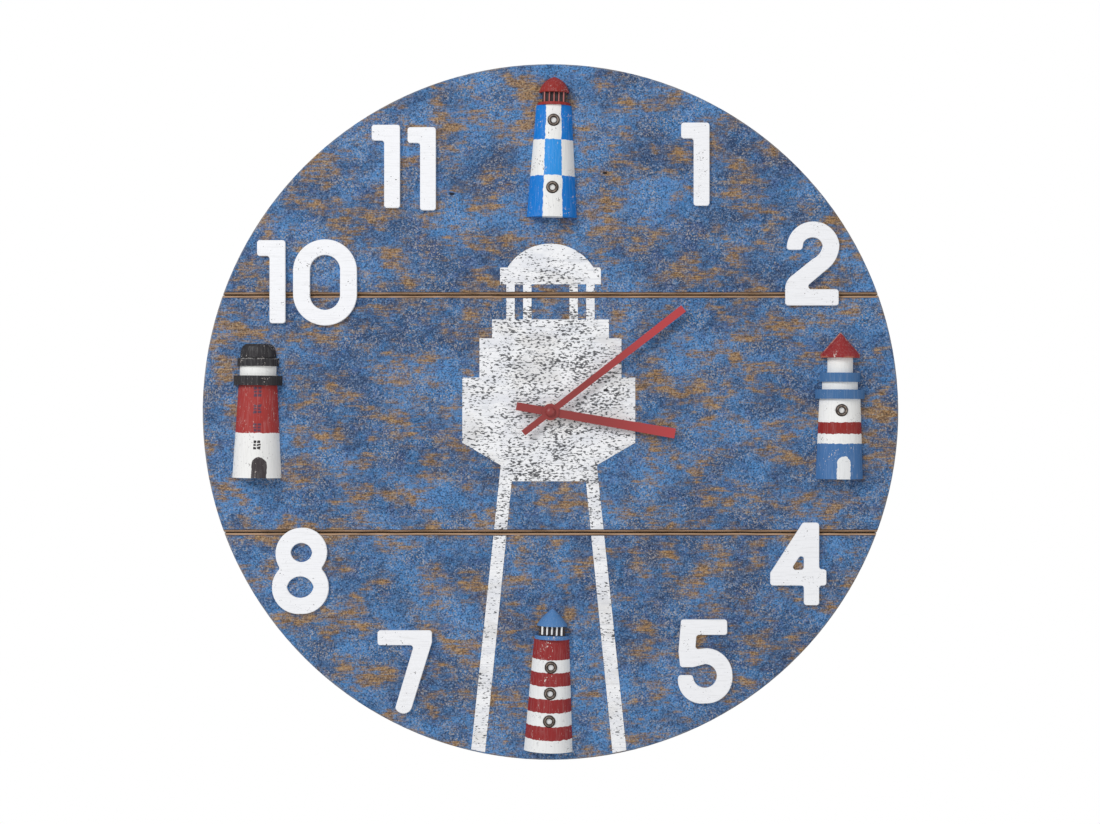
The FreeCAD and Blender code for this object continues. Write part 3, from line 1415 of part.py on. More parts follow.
def make_stator():
    body = new_body("stator")
    left, low, high = ROTOR_AXIS[0] - STATOR_HALF, STATOR_LOW, ROTOR_AXIS[1] + STATOR_HALF
    bar_top = low + s.stator_bar
    outline = [(left, low), (STATOR_RIGHT, low), (STATOR_RIGHT, CORE_TOP), (RIGHT_LEG, CORE_TOP)]
    outline += [(RIGHT_LEG, bar_top), (TAB_RIGHT, bar_top), (TAB_RIGHT, CORE_TOP)]
    outline += [(TAB_LEFT, CORE_TOP), (TAB_LEFT, high), (left, high)]
    pad(body, loops(body, outline, lift=STATOR_BACK), s.stator_thick)
    bore = s.magnet_diameter + 2 * s.stator_bore_gap
    pocket(body, circles(body, (*ROTOR_AXIS, bore), lift=STATOR_BACK), reverse=True)
    place(body, 0, 0, -s.dial_drop)
    keep("stator", body)


def make_coil():
    """Wound bobbin on a flat core, whose bare ends lie on the stator's legs."""
    body = new_body("coil")
    radius, half, cheek = s.coil_diameter / 2, s.coil_long / 2, s.coil_cheek
    wound = radius - s.coil_winding_inset
    outline = [(-half, 0), (-half, radius), (cheek - half, radius), (cheek - half, wound)]
    outline += [(half - cheek, wound), (half - cheek, radius), (half, radius), (half, 0)]
    revolve(body, loops(body, outline), "H_Axis")
    end, thick = half + s.coil_wall_gap + s.stator_bar, s.core_thick / 2
    bar = loops(body, box_stops(-end, end, -thick, thick), role="XY_Plane", lift=-s.core_wide / 2)
    pad(body, bar, s.core_wide)
    place(body, (COIL_LEFT + COIL_RIGHT) / 2, -(STATOR_BACK - thick), COIL_UP - s.dial_drop)
    keep("coil", body)


def bound_box(name, x, y, z, wide, deep, tall):
    box = doc.addObject("Part::Box", name)
    for side, size in (("Length", wide), ("Width", deep), ("Height", tall)):
        box.setExpression(side, size.formula)
    place(box, x, y, z)
    return box


def make_circuit_board():
    """Small board with the chip and the quartz crystal's can on its back."""
    low, margin = CIRCUIT_LOW - s.dial_drop, s.circuit_margin
    board = (CIRCUIT_LEFT, -CIRCUIT_FRONT, low, s.circuit_wide, s.circuit_thick, s.circuit_tall)
    beside_post = CIRCUIT_LEFT + 2 * POST_INSET
    chip = (beside_post, -CIRCUIT_BACK, low + margin, s.chip_wide, s.chip_thick, s.chip_wide)
    can, radius = doc.addObject("Part::Cylinder", "crystal_can"), s.crystal_diameter / 2
    can.setExpression("Radius", radius.formula)
    can.setExpression("Height", s.crystal_long.formula)
    can_up = CIRCUIT_TOP - margin - radius - s.dial_drop
    place(can, beside_post, radius - CIRCUIT_BACK, can_up, as_size(QUARTER_TURN))
    grouped("circuit_board", [bound_box("bare_board", *board), bound_box("chip", *chip), can])


# Battery and its tray along the bottom of the case, open to the back
TRAY_LOW = -CASE_INSIDE
TRAY_HIGH = TRAY_LOW + s.battery_diameter + 2 * s.battery_clearance
BATTERY_UP = (TRAY_LOW + TRAY_HIGH) / 2
BATTERY_DEPTH = CASE_FLOOR - s.battery_clearance - s.battery_diameter / 2
BATTERY_RIGHT = CASE_INSIDE - s.contact_thick - s.contact_gap
BATTERY_LEFT = BATTERY_RIGHT - s.battery_long


def make_battery():
    body = new_body("battery")
    radius, nub = s.battery_diameter / 2, s.battery_nub_diameter / 2
    shoulder = s.battery_long - s.battery_nub_long
    outline = [(0, 0), (0, radius), (shoulder, radius), (shoulder, nub), (s.battery_long, nub)]
    revolve(body, loops(body, outline + [(s.battery_long, 0)]), "H_Axis")
    place(body, BATTERY_LEFT, -BATTERY_DEPTH, BATTERY_UP - s.dial_drop)
    keep("battery", body)


def make_contacts():
    """A flat contact for the battery's nub, and a bent leaf that presses on its other end."""
    half, thick = s.contact_wide / 2, s.contact_thick
    middle = -BATTERY_DEPTH
    flat = box_stops(CASE_INSIDE - thick, CASE_INSIDE, middle - half, middle + half)
    wall, tip = -CASE_INSIDE, BATTERY_LEFT - s.contact_gap
    leaf = [(wall, middle - half), (tip, middle), (wall, middle + half)]
    leaf += [(wall, middle + half - 2 * thick), (tip - thick, middle), (wall, middle + 2 * thick - half)]
    bodies = []
    for name, outline in (("flat_contact", flat), ("leaf_contact", leaf)):
        body = new_body(name)
        pad(body, loops(body, outline, role="XY_Plane", lift=-s.contact_tall / 2), s.contact_tall)
        place(body, 0, 0, BATTERY_UP - s.dial_drop)
        bodies.append(body)
    grouped("battery_contacts", bodies)


PIVOT_HOLE = s.pivot_diameter + 2 * s.running_clearance
PIVOT_HOLE_DEEP = s.pivot_long + s.pivot_end_gap


def make_movement_case():
    """Moulded case: front wall with the threaded shaft, side walls, battery tray and bosses."""
    body = new_body("movement_case")
    half = s.case_wide / 2
    pad(body, loops(body, box_stops(-half, half, -half, half), lift=CASE_BACK), s.case_deep)
    ease(body, "Fillet", s.case_corner, runs_along_y)
    over = s.cut_overrun
    step = box_stops(-half - over, half + over, TRAY_HIGH, half + over)
    pocket(body, loops(body, step, lift=CASE_BACK), s.cover_thick, reverse=True)
    hollow, inside = s.case_deep - s.case_wall, CASE_INSIDE
    works = box_stops(-inside, inside, TRAY_HIGH + s.tray_wall, inside)
    pocket(body, loops(body, works, lift=CASE_BACK), hollow, reverse=True)
    tray = box_stops(-inside, inside, TRAY_LOW, TRAY_HIGH)
    pocket(body, loops(body, tray, lift=CASE_BACK), hollow, reverse=True)
    pad(body, circles(body, (0, 0, s.shaft_diameter), lift=CASE_FRONT), s.shaft_long)
    bore = s.hour_pipe_diameter + 2 * s.running_clearance
    pocket(body, circles(body, (0, 0, bore), lift=CASE_FLOOR), reverse=True)
    stud_back = MINUTE_LAYER - s.wheel_thick
    stud = circles(body, (*MINUTE_AXIS, s.arbor_diameter), lift=stud_back)
    pad(body, stud, CASE_FLOOR - stud_back)
    axes = [THIRD_AXIS, INTERMEDIATE_AXIS, ROTOR_AXIS, KNOB_AXIS]
    boss_back = CASE_FLOOR - s.front_boss_tall
    bosses = circles(body, *[(*axis, s.boss_diameter) for axis in axes], lift=boss_back)
    pad(body, bosses, s.front_boss_tall)
    holes = circles(body, *[(*axis, PIVOT_HOLE) for axis in axes], lift=boss_back)
    pocket(body, holes, PIVOT_HOLE_DEEP, reverse=True)
    place(body, 0, 0, -s.dial_drop)
    keep("movement_case", body)


def make_movement_cover():
    """Lid over the wheels, with a boss for each arbor and posts for the stator and the circuit."""
    body = new_body("movement_cover")
    half = s.case_wide / 2
    pad(body, loops(body, box_stops(-half, half, TRAY_HIGH, half), lift=CASE_BACK), s.cover_thick)
    ease(body, "Fillet", s.case_corner, lambda edge: runs_along_y(edge) and edge.Vertexes[0].Z > 0)
    axes = [DIAL_AXIS, THIRD_AXIS, INTERMEDIATE_AXIS, ROTOR_AXIS]
    bosses = circles(body, *[(*axis, s.boss_diameter) for axis in axes], lift=COVER_FRONT)
    pad(body, bosses, s.rear_boss_tall)
    boss_front = COVER_FRONT + s.rear_boss_tall
    holes = circles(body, *[(*axis, PIVOT_HOLE) for axis in axes], lift=boss_front)
    pocket(body, holes, PIVOT_HOLE_DEEP)
    for spots, front in ((STATOR_POSTS, STATOR_BACK), (CIRCUIT_POSTS, CIRCUIT_BACK)):
        posts = circles(body, *[(*spot, s.stator_post_diameter) for spot in spots], lift=COVER_FRONT)
        pad(body, posts, front - COVER_FRONT)
    knob_hole = s.arbor_diameter * KNOB_SHAFT_SHARE + 2 * s.running_clearance
    pocket(body, circles(body, (*KNOB_AXIS, knob_hole), lift=CASE_BACK), reverse=True)
    place(body, 0, 0, -s.dial_drop)
    keep("movement_cover", body)


def check_and_save():
    """Stop on any failed object or bad shape, then write every sub-part."""
    doc.recompute()
    for item in doc.Objects:
        if "Invalid" in item.State or "Error" in item.State:
            raise RuntimeError("%s did not build: %s" % (item.Name, item.State))
    for node, piece in pieces.items():
        shape = piece.Shape
        if not shape.isValid() or not shape.Solids or min(one.Volume for one in shape.Solids) <= 0:
            raise RuntimeError("%s has no valid solid" % node)
    os.makedirs("parts", exist_ok=True)
    for node, piece in pieces.items():
        piece.Shape.exportStep("parts/%s.step" % node)


make_planks()
make_batten("batten_left", -1)
make_batten("batten_right", 1)
make_hanging_block()
make_hanger_plate()
make_back_screws()
for node, numeral in NUMERALS.items():
    make_numeral(node, *numeral)
make_north()
make_east()
make_south()
make_west()
make_porthole_rings()
make_clamp()
hour_bore = s.hour_pipe_diameter + 2 * s.fit_gap
make_hand("hour_hand", HOUR_HAND_BACK, hour_bore, s.hub_boss_tall)
make_hand("minute_hand", MINUTE_HAND_BACK, s.minute_thread_diameter + 2 * s.fit_gap)
make_cap_nut()
make_movement_case()
make_movement_cover()
make_going_train()
make_motion_work()
make_setting_knob()
make_stator()
make_coil()
make_circuit_board()
make_battery()
make_contacts()
check_and_save()
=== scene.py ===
import math

import bpy
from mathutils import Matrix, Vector

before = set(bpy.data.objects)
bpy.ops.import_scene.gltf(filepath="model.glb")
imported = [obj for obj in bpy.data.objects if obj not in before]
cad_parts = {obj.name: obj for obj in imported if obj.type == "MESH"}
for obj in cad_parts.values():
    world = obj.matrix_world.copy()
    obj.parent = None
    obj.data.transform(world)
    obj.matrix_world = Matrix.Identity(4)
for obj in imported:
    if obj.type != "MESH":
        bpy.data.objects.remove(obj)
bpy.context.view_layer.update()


# The studio: a camera straight in front of the dial, as far off as the picture was taken from,
# a large soft lamp above on the left, a weaker one on the right and even white air all round.
# The clock hangs free of any wall, and the pale floor lies far enough below to stay out of view.

MM = 0.001
DIAL_UP = -225 * MM
BOARD_FACE = -32 * MM
VIEW_DISTANCE = 1800 * MM
VIEW_WIDTH = 1100 * 0.8333 * MM  # 1100 pixels of 0.8333 mm each on the board
VIEW_ACROSS = -0.4 * MM
SENSOR = 36
AIR_LIGHT = 0.46
AIR_WHITE = 1
FLOOR_RADIUS = 1.2
FLOOR_CORNERS = 96
FLOOR_BELOW = 0.6


def linear(code):
    """Linear colour with alpha from an sRGB hex code."""
    parts = [int(code[start:start + 2], 16) / 255 for start in (1, 3, 5)]
    return [c / 12.92 if c <= 0.04045 else ((c + 0.055) / 1.055) ** 2.4 for c in parts] + [1]


def add_node(tree, kind, inputs, **settings):
    """One node with its settings and links, as its first output in use.

    An input takes a value, a hex code or another node's output.
    """
    node = tree.nodes.new(kind)
    for name, value in settings.items():
        setattr(node, name, value)
    for name, value in inputs.items():
        if isinstance(value, bpy.types.NodeSocket):
            tree.links.new(value, node.inputs[name])
        elif isinstance(value, str):
            node.inputs[name].default_value = linear(value)
        else:
            node.inputs[name].default_value = value
    return next((output for output in node.outputs if output.enabled), None)


camera_data = bpy.data.cameras.new("dial_camera")
camera_data.sensor_width = SENSOR
camera_data.lens = SENSOR * VIEW_DISTANCE / VIEW_WIDTH
camera = bpy.data.objects.new("dial_camera", camera_data)
camera.location = (VIEW_ACROSS, BOARD_FACE - VIEW_DISTANCE, DIAL_UP)
camera.rotation_euler = (math.radians(90), 0, 0)
bpy.context.scene.collection.objects.link(camera)
bpy.context.scene.camera = camera

# each lamp's place from the middle of the dial and its side, in metres, and its power in watts
for name, across, forward, up, side, power in (
    ("key_lamp", -1.3, -1.7, 1.2, 0.9, 30),
    ("fill_lamp", 1.6, -1.6, 0.1, 1.2, 6),
):
    lamp_data = bpy.data.lights.new(name, "AREA")
    lamp_data.size = side
    lamp_data.energy = power
    lamp = bpy.data.objects.new(name, lamp_data)
    lamp.location = (across, forward, DIAL_UP + up)
    lamp.rotation_euler = Vector((-across, -forward, -up)).to_track_quat("-Z", "Y").to_euler()
    bpy.context.scene.collection.objects.link(lamp)

# the air lights softly, but the eye, metal and glass see it as plain white
air = bpy.data.worlds.new("studio_air")
air.use_nodes = True
bpy.context.scene.world = air
tree = air.node_tree
tree.nodes.clear()
rays = add_node(tree, "ShaderNodeLightPath", {}).node.outputs
seen = rays["Is Camera Ray"]
for kind in ("Is Glossy Ray", "Is Transmission Ray"):
    seen = add_node(tree, "ShaderNodeMath", {0: seen, 1: rays[kind]}, operation="MAXIMUM")
soft_light = add_node(tree, "ShaderNodeBackground", {"Color": "#ffffff", "Strength": AIR_LIGHT})
white_view = add_node(tree, "ShaderNodeBackground", {"Color": "#ffffff", "Strength": AIR_WHITE})
either = add_node(tree, "ShaderNodeMixShader", {0: seen, 1: soft_light, 2: white_view})
add_node(tree, "ShaderNodeOutputWorld", {"Surface": either})

floor_mesh = bpy.data.meshes.new("studio_floor")
turns = [math.tau * step / FLOOR_CORNERS for step in range(FLOOR_CORNERS)]
rim = [(FLOOR_RADIUS * math.cos(turn), FLOOR_RADIUS * math.sin(turn), 0) for turn in turns]
floor_mesh.from_pydata(rim, [], [list(range(FLOOR_CORNERS))])
floor = bpy.data.objects.new("studio_floor", floor_mesh)
floor.location = (0, 0, DIAL_UP - FLOOR_BELOW)
bpy.context.scene.collection.objects.link(floor)
pale_paper = bpy.data.materials.new("pale_paper")
pale_paper.use_nodes = True
shader = pale_paper.node_tree.nodes["Principled BSDF"]
shader.inputs["Base Color"].default_value = linear("#f1f0ed")
shader.inputs["Roughness"].default_value = 0.9
floor_mesh.materials.append(pale_paper)


# The board: three softwood planks cut to one disc, with bevelled joints, painted a matt blue and
# sanded back until bare timber shows in ragged patches. The lighthouse in its middle is a
# stencilled film of thin white, worn to dark flecks along the grain.

# in millimetres; depths count from the wall, places on the dial from its middle
FILM_MIDDLE = -32.15
PAINT_ENDS = -20.4
JOINTS_UP = (97.5, -100.4)
ARRIS_HALF, BEVEL_HALF, GAP_HALF, SEAM_HALF = 2.7, 2.1, 0.6, 0.35
RUBBED_RIM = 288.9
DARK_SPOTS = ((-82.1, 181.7), (45.4, 199.2), (46.2, 18.3))
DARK_SPOT_HALVES = (2.1, 1.1)
CROWD_HALVES = (72, 110)


def new_material(name, roughness, metallic=0, ior=None, shine=0.5):
    """A material with its tree, its shader and the place on the clock in metres; a metal gives no IOR.

    Shine is how much of the room a surface mirrors: 0.5 on a smooth skin, less on a chalky one.
    """
    material = bpy.data.materials.new(name)
    material.use_nodes = True
    tree = material.node_tree
    shader = tree.nodes["Principled BSDF"]
    shader.inputs["Roughness"].default_value = roughness
    shader.inputs["Metallic"].default_value = metallic
    shader.inputs["Specular IOR Level"].default_value = shine
    if ior is not None:
        shader.inputs["IOR"].default_value = ior
    place = add_node(tree, "ShaderNodeTexCoord", {}).node.outputs["Object"]
    return material, tree, shader, place


def blots(tree, place, low, high, *layers):
    """A share that sets in from 0 to 1 where the sum of random layers passes from low to high.

    Each layer is its weight, the size of its blots in millimetres (across, deep, up) and a seed.
    """
    total = 0
    for weight, size, seed in layers:
        scale = [1 / (side * MM) for side in size]
        spread = add_node(
            tree, "ShaderNodeMapping", {"Vector": place, "Location": (seed, seed, seed), "Scale": scale}
        )
        wave = add_node(
            tree, "ShaderNodeTexNoise", {"Vector": spread, "Scale": 1, "Detail": 4, "Roughness": 0.6}
        )
        total = add_node(tree, "ShaderNodeMath", {0: wave, 1: weight, 2: total}, operation="MULTIPLY_ADD")
    return add_node(tree, "ShaderNodeMapRange", {"Value": total, "From Min": low, "From Max": high})


def laid_over(tree, under, over, *shares):
    """One colour laid over another, by the product of some shares from 0 to 1."""
    whole = shares[0]
    for share in shares[1:]:
        whole = add_node(tree, "ShaderNodeMath", {0: whole, 1: share}, operation="MULTIPLY")
    return add_node(tree, "ShaderNodeMix", {0: whole, 6: under, 7: over}, data_type="RGBA")


def beyond(tree, value, line, soft=0.15):
    """1 where a length passes a line given in millimetres, with an edge as soft as a brush leaves."""
    ends = {"Value": value, "From Min": (line - soft) * MM, "From Max": (line + soft) * MM}
    return add_node(tree, "ShaderNodeMapRange", ends)


def short_of(tree, value, line, soft=0.15):
    """1 where a length stays short of a line, and 0 where beyond gives 1."""
    return beyond(tree, value, line, -soft)


def apart(tree, one, other):
    """How far apart two lengths or shares are, whichever is more."""
    step = add_node(tree, "ShaderNodeMath", {0: one, 1: other}, operation="SUBTRACT")
    return add_node(tree, "ShaderNodeMath", {0: step}, operation="ABSOLUTE")


def reach(tree, place, across, up, halves):
    """How far out a place lies from a spot on the dial: 1 on the ellipse with these half axes."""
    spot = {"Vector": place, "Location": (across * MM, 0, up * MM + DIAL_UP)}
    spot["Scale"] = (halves[0] * MM, 1, halves[1] * MM)
    spot = add_node(tree, "ShaderNodeMapping", spot, vector_type="TEXTURE")
    return add_node(tree, "ShaderNodeVectorMath", {0: spot}, operation="LENGTH")


def from_arbor(tree, place):
    """How far a place lies from the line through the arbor of the hands, in metres."""
    flat = {"Vector": place, "Location": (0, 0, -DIAL_UP), "Scale": (1, 0, 1)}
    flat = add_node(tree, "ShaderNodeMapping", flat)
    return add_node(tree, "ShaderNodeVectorMath", {0: flat}, operation="LENGTH")


def dress(tree, shader, colour, relief=None, deep=0, strength=0.5):
    """Give a shader its colour and, from a share, a relief so many millimetres deep."""
    tree.links.new(colour, shader.inputs["Base Color"])
    if deep:
        bump = {"Height": relief, "Distance": deep * MM, "Strength": strength}
        tree.links.new(add_node(tree, "ShaderNodeBump", bump), shader.inputs["Normal"])


def finish(material, *names):
    """Give CAD nodes one material all over."""
    for name in names:
        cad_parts[name].data.materials.clear()
        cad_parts[name].data.materials.append(material)


# chalky acrylic on pine: dull and even, too rough to mirror the room, with a slight tooth
rubbed_blue, tree, shader, place = new_material("rubbed_acrylic_on_pine", 0.75, ior=1.5, shine=0.2)
axes = add_node(tree, "ShaderNodeSeparateXYZ", {"Vector": place}).node.outputs
depth, height = axes["Y"], axes["Z"]

# the blue went on unevenly, in clouds of several sizes
blue = laid_over(tree, "#548ac4", "#395b86", blots(tree, place, 0.42, 0.60, (1, (75, 75, 50), 1)))
blue = laid_over(tree, blue, "#3a4b6c", blots(tree, place, 0.49, 0.60, (1, (34, 34, 26), 2)), 0.6)
blue = laid_over(tree, blue, "#4787c3", blots(tree, place, 0.52, 0.60, (1, (15, 15, 11), 3)), 0.45)
blue = laid_over(tree, blue, "#53669c", blots(tree, place, 0.54, 0.62, (1, (9, 9, 7), 4)), 0.35)
timber = laid_over(tree, "#ad8450", "#6e533b", blots(tree, place, 0.48, 0.60, (1, (17, 17, 1.3), 9)))
timber = laid_over(tree, timber, "#caa26a", blots(tree, place, 0.55, 0.63, (1, (4, 4, 1.6), 10)), 0.6)

# grit of the sandpaper, dark in the hollows and rubbed pale on the crests: drawn 1.3 mm coarse,
# because true grit is too fine to show
grit = (1.3, 1.3, 1.15)
hollows = blots(tree, place, 0.46, 0.60, (1, grit, 11))
crests = blots(tree, place, 0.51, 0.64, (1, grit, 12))
# the crests are paler and warmer in the zones that were sanded longest
longest = blots(tree, place, 0.44, 0.58, (1, (30, 30, 22), 25))
shown = add_node(tree, "ShaderNodeMapRange", {"Value": longest, "To Min": 0.38, "To Max": 0.62})
rubbed = laid_over(tree, "#9dbbe2", "#c9c2bb", longest)
blue = laid_over(tree, laid_over(tree, blue, "#172440", hollows, 0.76), rubbed, crests, shown)
timber = laid_over(tree, laid_over(tree, timber, "#33261f", hollows, 0.72), "#d9c6a4", crests, 0.4)

# the sander thinned the paint in wide zones and went through it along and across the grain
wear = (
    (0.44, (36, 36, 24), 5), (0.25, (12, 12, 5.5), 6), (0.22, (12, 12, 1.4), 7), (0.09, (1.6, 1.6, 9), 8)
)
thin = blots(tree, place, 0.475, 0.56, *wear)
bare = blots(tree, place, 0.514, 0.578, *wear)
front = laid_over(tree, blue, "#7c7064", thin, 0.45)
front = laid_over(tree, front, timber, bare, 0.85)

# the stencil: thin white, yellowed in places, with a few grey streaks
film = laid_over(tree, "#f9fafd", "#ebedf3", blots(tree, place, 0.45, 0.62, (1, (30, 30, 14), 13)))
film = laid_over(tree, film, "#b9b2a6", blots(tree, place, 0.52, 0.62, (1, (44, 44, 24), 14)), 0.22)
film = laid_over(tree, film, "#aeb3bd", blots(tree, place, 0.56, 0.62, (1, (26, 26, 1.1), 15)), 0.35)
# its dark flecks crowd up the middle and thin out towards its sides and down its legs
flecks = ((0.62, (3.0, 3.0, 1.3), 16), (0.16, (14, 14, 0.9), 24), (0.22, (30, 30, 20), 17))
flecks = blots(tree, place, 0.488, 0.588, *flecks)
crowd = {"Value": reach(tree, place, 0, 0, CROWD_HALVES), "From Min": 1.2, "From Max": 0.5, "To Min": 0.5}
crowd = add_node(tree, "ShaderNodeMapRange", crowd)
flecks = add_node(tree, "ShaderNodeMath", {0: flecks, 1: crowd}, operation="MULTIPLY")
flecks = add_node(tree, "ShaderNodeMapRange", {"Value": flecks, "From Min": 0.33, "From Max": 0.50})
film = laid_over(tree, film, "#2b2d33", flecks, 0.9)
painted = laid_over(tree, front, film, short_of(tree, depth, FILM_MIDDLE, 0.02))

# three small spots, nearly black
for across, up in DARK_SPOTS:
    dark_spot = {"Value": reach(tree, place, across, up, DARK_SPOT_HALVES), "From Min": 1.15, "From Max": 0.85}
    painted = laid_over(tree, painted, "#17141a", add_node(tree, "ShaderNodeMapRange", dark_spot), 0.95)

# the bevels were cut after painting: sawn wood with scorched arrises and a dark gap between, which
# shows on the raw back as a seam
sawn = laid_over(tree, "#c0a084", "#8f745b", blots(tree, place, 0.42, 0.60, (1, (30, 30, 0.9), 18)))
ragged = blots(tree, place, 0.34, 0.50, (1, (9, 9, 3), 19))
raw_back = laid_over(tree, "#cdac7c", "#ab8452", blots(tree, place, 0.42, 0.62, (1, (90, 90, 1.8), 21)))
for joint_up in JOINTS_UP:
    off = apart(tree, height, joint_up * MM + DIAL_UP)
    painted = laid_over(tree, painted, "#35261f", short_of(tree, off, ARRIS_HALF), ragged, 0.9)
    painted = laid_over(tree, painted, sawn, short_of(tree, off, BEVEL_HALF))
    painted = laid_over(tree, painted, "#2a1c14", short_of(tree, off, GAP_HALF))
    raw_back = laid_over(tree, raw_back, "#3a2817", short_of(tree, off, SEAM_HALF))

# the rim is rubbed grey, and the paint stops just short of the back
on_rim = beyond(tree, from_arbor(tree, place), RUBBED_RIM, 0.4)
rubbed_rim = blots(tree, place, 0.42, 0.56, (1, (14, 14, 14), 20))
painted = laid_over(tree, painted, "#8d8a8c", on_rim, rubbed_rim, 0.7)
painted = laid_over(tree, painted, raw_back, beyond(tree, depth, PAINT_ENDS, 0.2))
tooth = blots(tree, place, 0.3, 0.7, (0.6, grit, 11), (0.4, (40, 40, 1.3), 22))
tooth = add_node(tree, "ShaderNodeMath", {0: bare, 1: -0.6, 2: tooth}, operation="MULTIPLY_ADD")
dress(tree, shader, painted, tooth, 0.22, 0.6)
finish(rubbed_blue, "plank_top", "plank_middle", "plank_bottom")


# The numerals: 3 mm plywood cut out with a fretsaw, edges eased, brushed white and rubbed until
# small dark chips show. They are glued flat on the planks.


def chipped_paint(name, coat, chipped, scratched, seed, grain_up=True):
    """Brushed paint on wood, with dark chips and scratches on a pale coat and pale ones on a dark coat.

    The coat is a hex code, or a function that makes a colour from the tree and the place. Chipped
    and scratched run from 0, hardly at all, to 1.
    """
    material, tree, shader, place = new_material(name, 0.55, ior=1.5, shine=0.25)
    colour = coat(tree, place) if callable(coat) else coat
    # bristle marks, drawn a millimetre wide to show
    marks = (1.1, 1.1, 16) if grain_up else (16, 1.1, 1.1)
    # the pale streaks are partly the paint's own tone and partly a painted highlight on the bristle
    # ridges
    wear_and_painted_light = laid_over(tree, colour, "#ffffff", blots(tree, place, 0.50, 0.66, (1, marks, seed + 1)), 0.06)
    # the dark streaks are partly the paint's own tone and partly painted shade in the bristle grooves
    wear_and_painted_light = laid_over(tree, wear_and_painted_light, "#2a2320", blots(tree, place, 0.50, 0.66, (1, marks, seed + 2)), 0.08)
    green = add_node(tree, "ShaderNodeSeparateColor", {0: colour}).node.outputs["Green"]
    pale = add_node(tree, "ShaderNodeMapRange", {"Value": green, "From Min": 0.3, "From Max": 0.55})
    under = laid_over(tree, "#e2d8d1", "#453d3b", pale)
    # the more the paint is chipped or scratched, the lower the line that its blots have to pass
    chip = (1.1, 1.1, 1.8) if grain_up else (1.8, 1.1, 1.1)
    line = 0.645 - 0.04 * chipped
    chips = blots(tree, place, line, line + 0.02, (0.60, chip, seed + 3), (0.40, (12, 12, 12), seed + 4))
    wear_and_painted_light = laid_over(tree, wear_and_painted_light, under, chips, 0.9)
    scratch = (0.9, 0.9, 8) if grain_up else (8, 0.9, 0.9)
    line = 0.68 - 0.055 * scratched
    crowds = ((0.75, scratch, seed + 5), (0.25, (18, 18, 18), seed + 6))
    wear_and_painted_light = laid_over(tree, wear_and_painted_light, under, blots(tree, place, line, line + 0.03, *crowds), 0.75)
    bristles = blots(tree, place, 0.3, 0.7, (1, marks, seed + 1))
    sunk = add_node(tree, "ShaderNodeMath", {0: chips, 1: -1.2, 2: bristles}, operation="MULTIPLY_ADD")
    dress(tree, shader, wear_and_painted_light, sunk, 0.14)
    return material


# satin emulsion over plywood: clean white with a faint sheen
white_ply = chipped_paint(
    "white_emulsion_on_plywood", "#f8f9fd", chipped=0.75, scratched=0, seed=30, grain_up=False
)
finish(
    white_ply, "numeral_1", "numeral_2", "numeral_4", "numeral_5", "numeral_7", "numeral_8",
    "numeral_10_one", "numeral_10_zero", "numeral_11_left", "numeral_11_right",
)


# The lighthouse at twelve: a half-round tapered block with a flat gallery plate, a dark lantern
# core behind thin red rods and a turned red dome. The tower is masked and brushed in bright blue
# and white checks, three columns by three rows.

# the middle of the foot on the dial in millimetres, and the clockwise lean in degrees; all that is
# painted on a tower is measured in millimetres from its foot
NORTH_FOOT = (1.1, 162, 1.1)
NORTH_TALL = 93.7
# the left and right side of the middle column, each at the foot and at the top of the tower
CHECK_SIDES = ((-7.7, -6.4), (8.8, 5.85))
CHECK_ROWS = (34.2, 64.2)
# how far a painted line strays in all
UNSTEADY = 1.1


def stood(tree, place, foot):
    """How far across and up a place lies from the foot of a tower, as an unsteady brush has it."""
    across, up, lean = foot
    own = {"Vector": place, "Location": (across * MM, 0, up * MM + DIAL_UP)}
    own["Rotation"] = (0, math.radians(lean), 0)
    own = add_node(tree, "ShaderNodeMapping", own, vector_type="TEXTURE")
    axes = add_node(tree, "ShaderNodeSeparateXYZ", {"Vector": own}).node.outputs
    swing = blots(tree, place, 0.3, 0.7, (1, (4, 4, 4), 41))
    lengths = []
    for axis in ("X", "Z"):
        length = {0: swing, 1: UNSTEADY * MM, 2: axes[axis]}
        length = add_node(tree, "ShaderNodeMath", length, operation="MULTIPLY_ADD")
        length = {0: length, 1: UNSTEADY / 2 * MM}
        lengths.append(add_node(tree, "ShaderNodeMath", length, operation="SUBTRACT"))
    return lengths


def between(tree, value, low, high):
    """1 where a length lies between two lines given in millimetres."""
    ends = {0: beyond(tree, value, low), 1: beyond(tree, value, high)}
    return add_node(tree, "ShaderNodeMath", ends, operation="SUBTRACT")


def north_checks(tree, place):
    column, row = stood(tree, place, NORTH_FOOT)
    passed = []
    for low, high in CHECK_SIDES:
        side = {"Value": row, "From Max": NORTH_TALL * MM, "To Min": low * MM, "To Max": high * MM}
        side = add_node(tree, "ShaderNodeMapRange", side)
        past = add_node(tree, "ShaderNodeMath", {0: column, 1: side}, operation="SUBTRACT")
        passed.append(beyond(tree, past, 0))
    in_column = add_node(tree, "ShaderNodeMath", {0: passed[0], 1: passed[1]}, operation="SUBTRACT")
    in_row = between(tree, row, *CHECK_ROWS)
    # the middle blue check is painted lighter than the corner ones: a painted highlight on the crown of
    # the round
    blue = laid_over(tree, "#0078d1", "#2990e1", in_column, in_row)
    return laid_over(tree, blue, "#f0f0ef", apart(tree, in_column, in_row))


# gloss enamel gone satin: bright and even, with a painted highlight down the round of the tower
checks = chipped_paint("checked_enamel", north_checks, chipped=1, scratched=0.85, seed=50)
finish(checks, "north_tower")
brick_red = chipped_paint("brick_red_enamel", "#8f2622", chipped=0.35, scratched=0.5, seed=60)
finish(brick_red, "north_gallery", "north_roof")
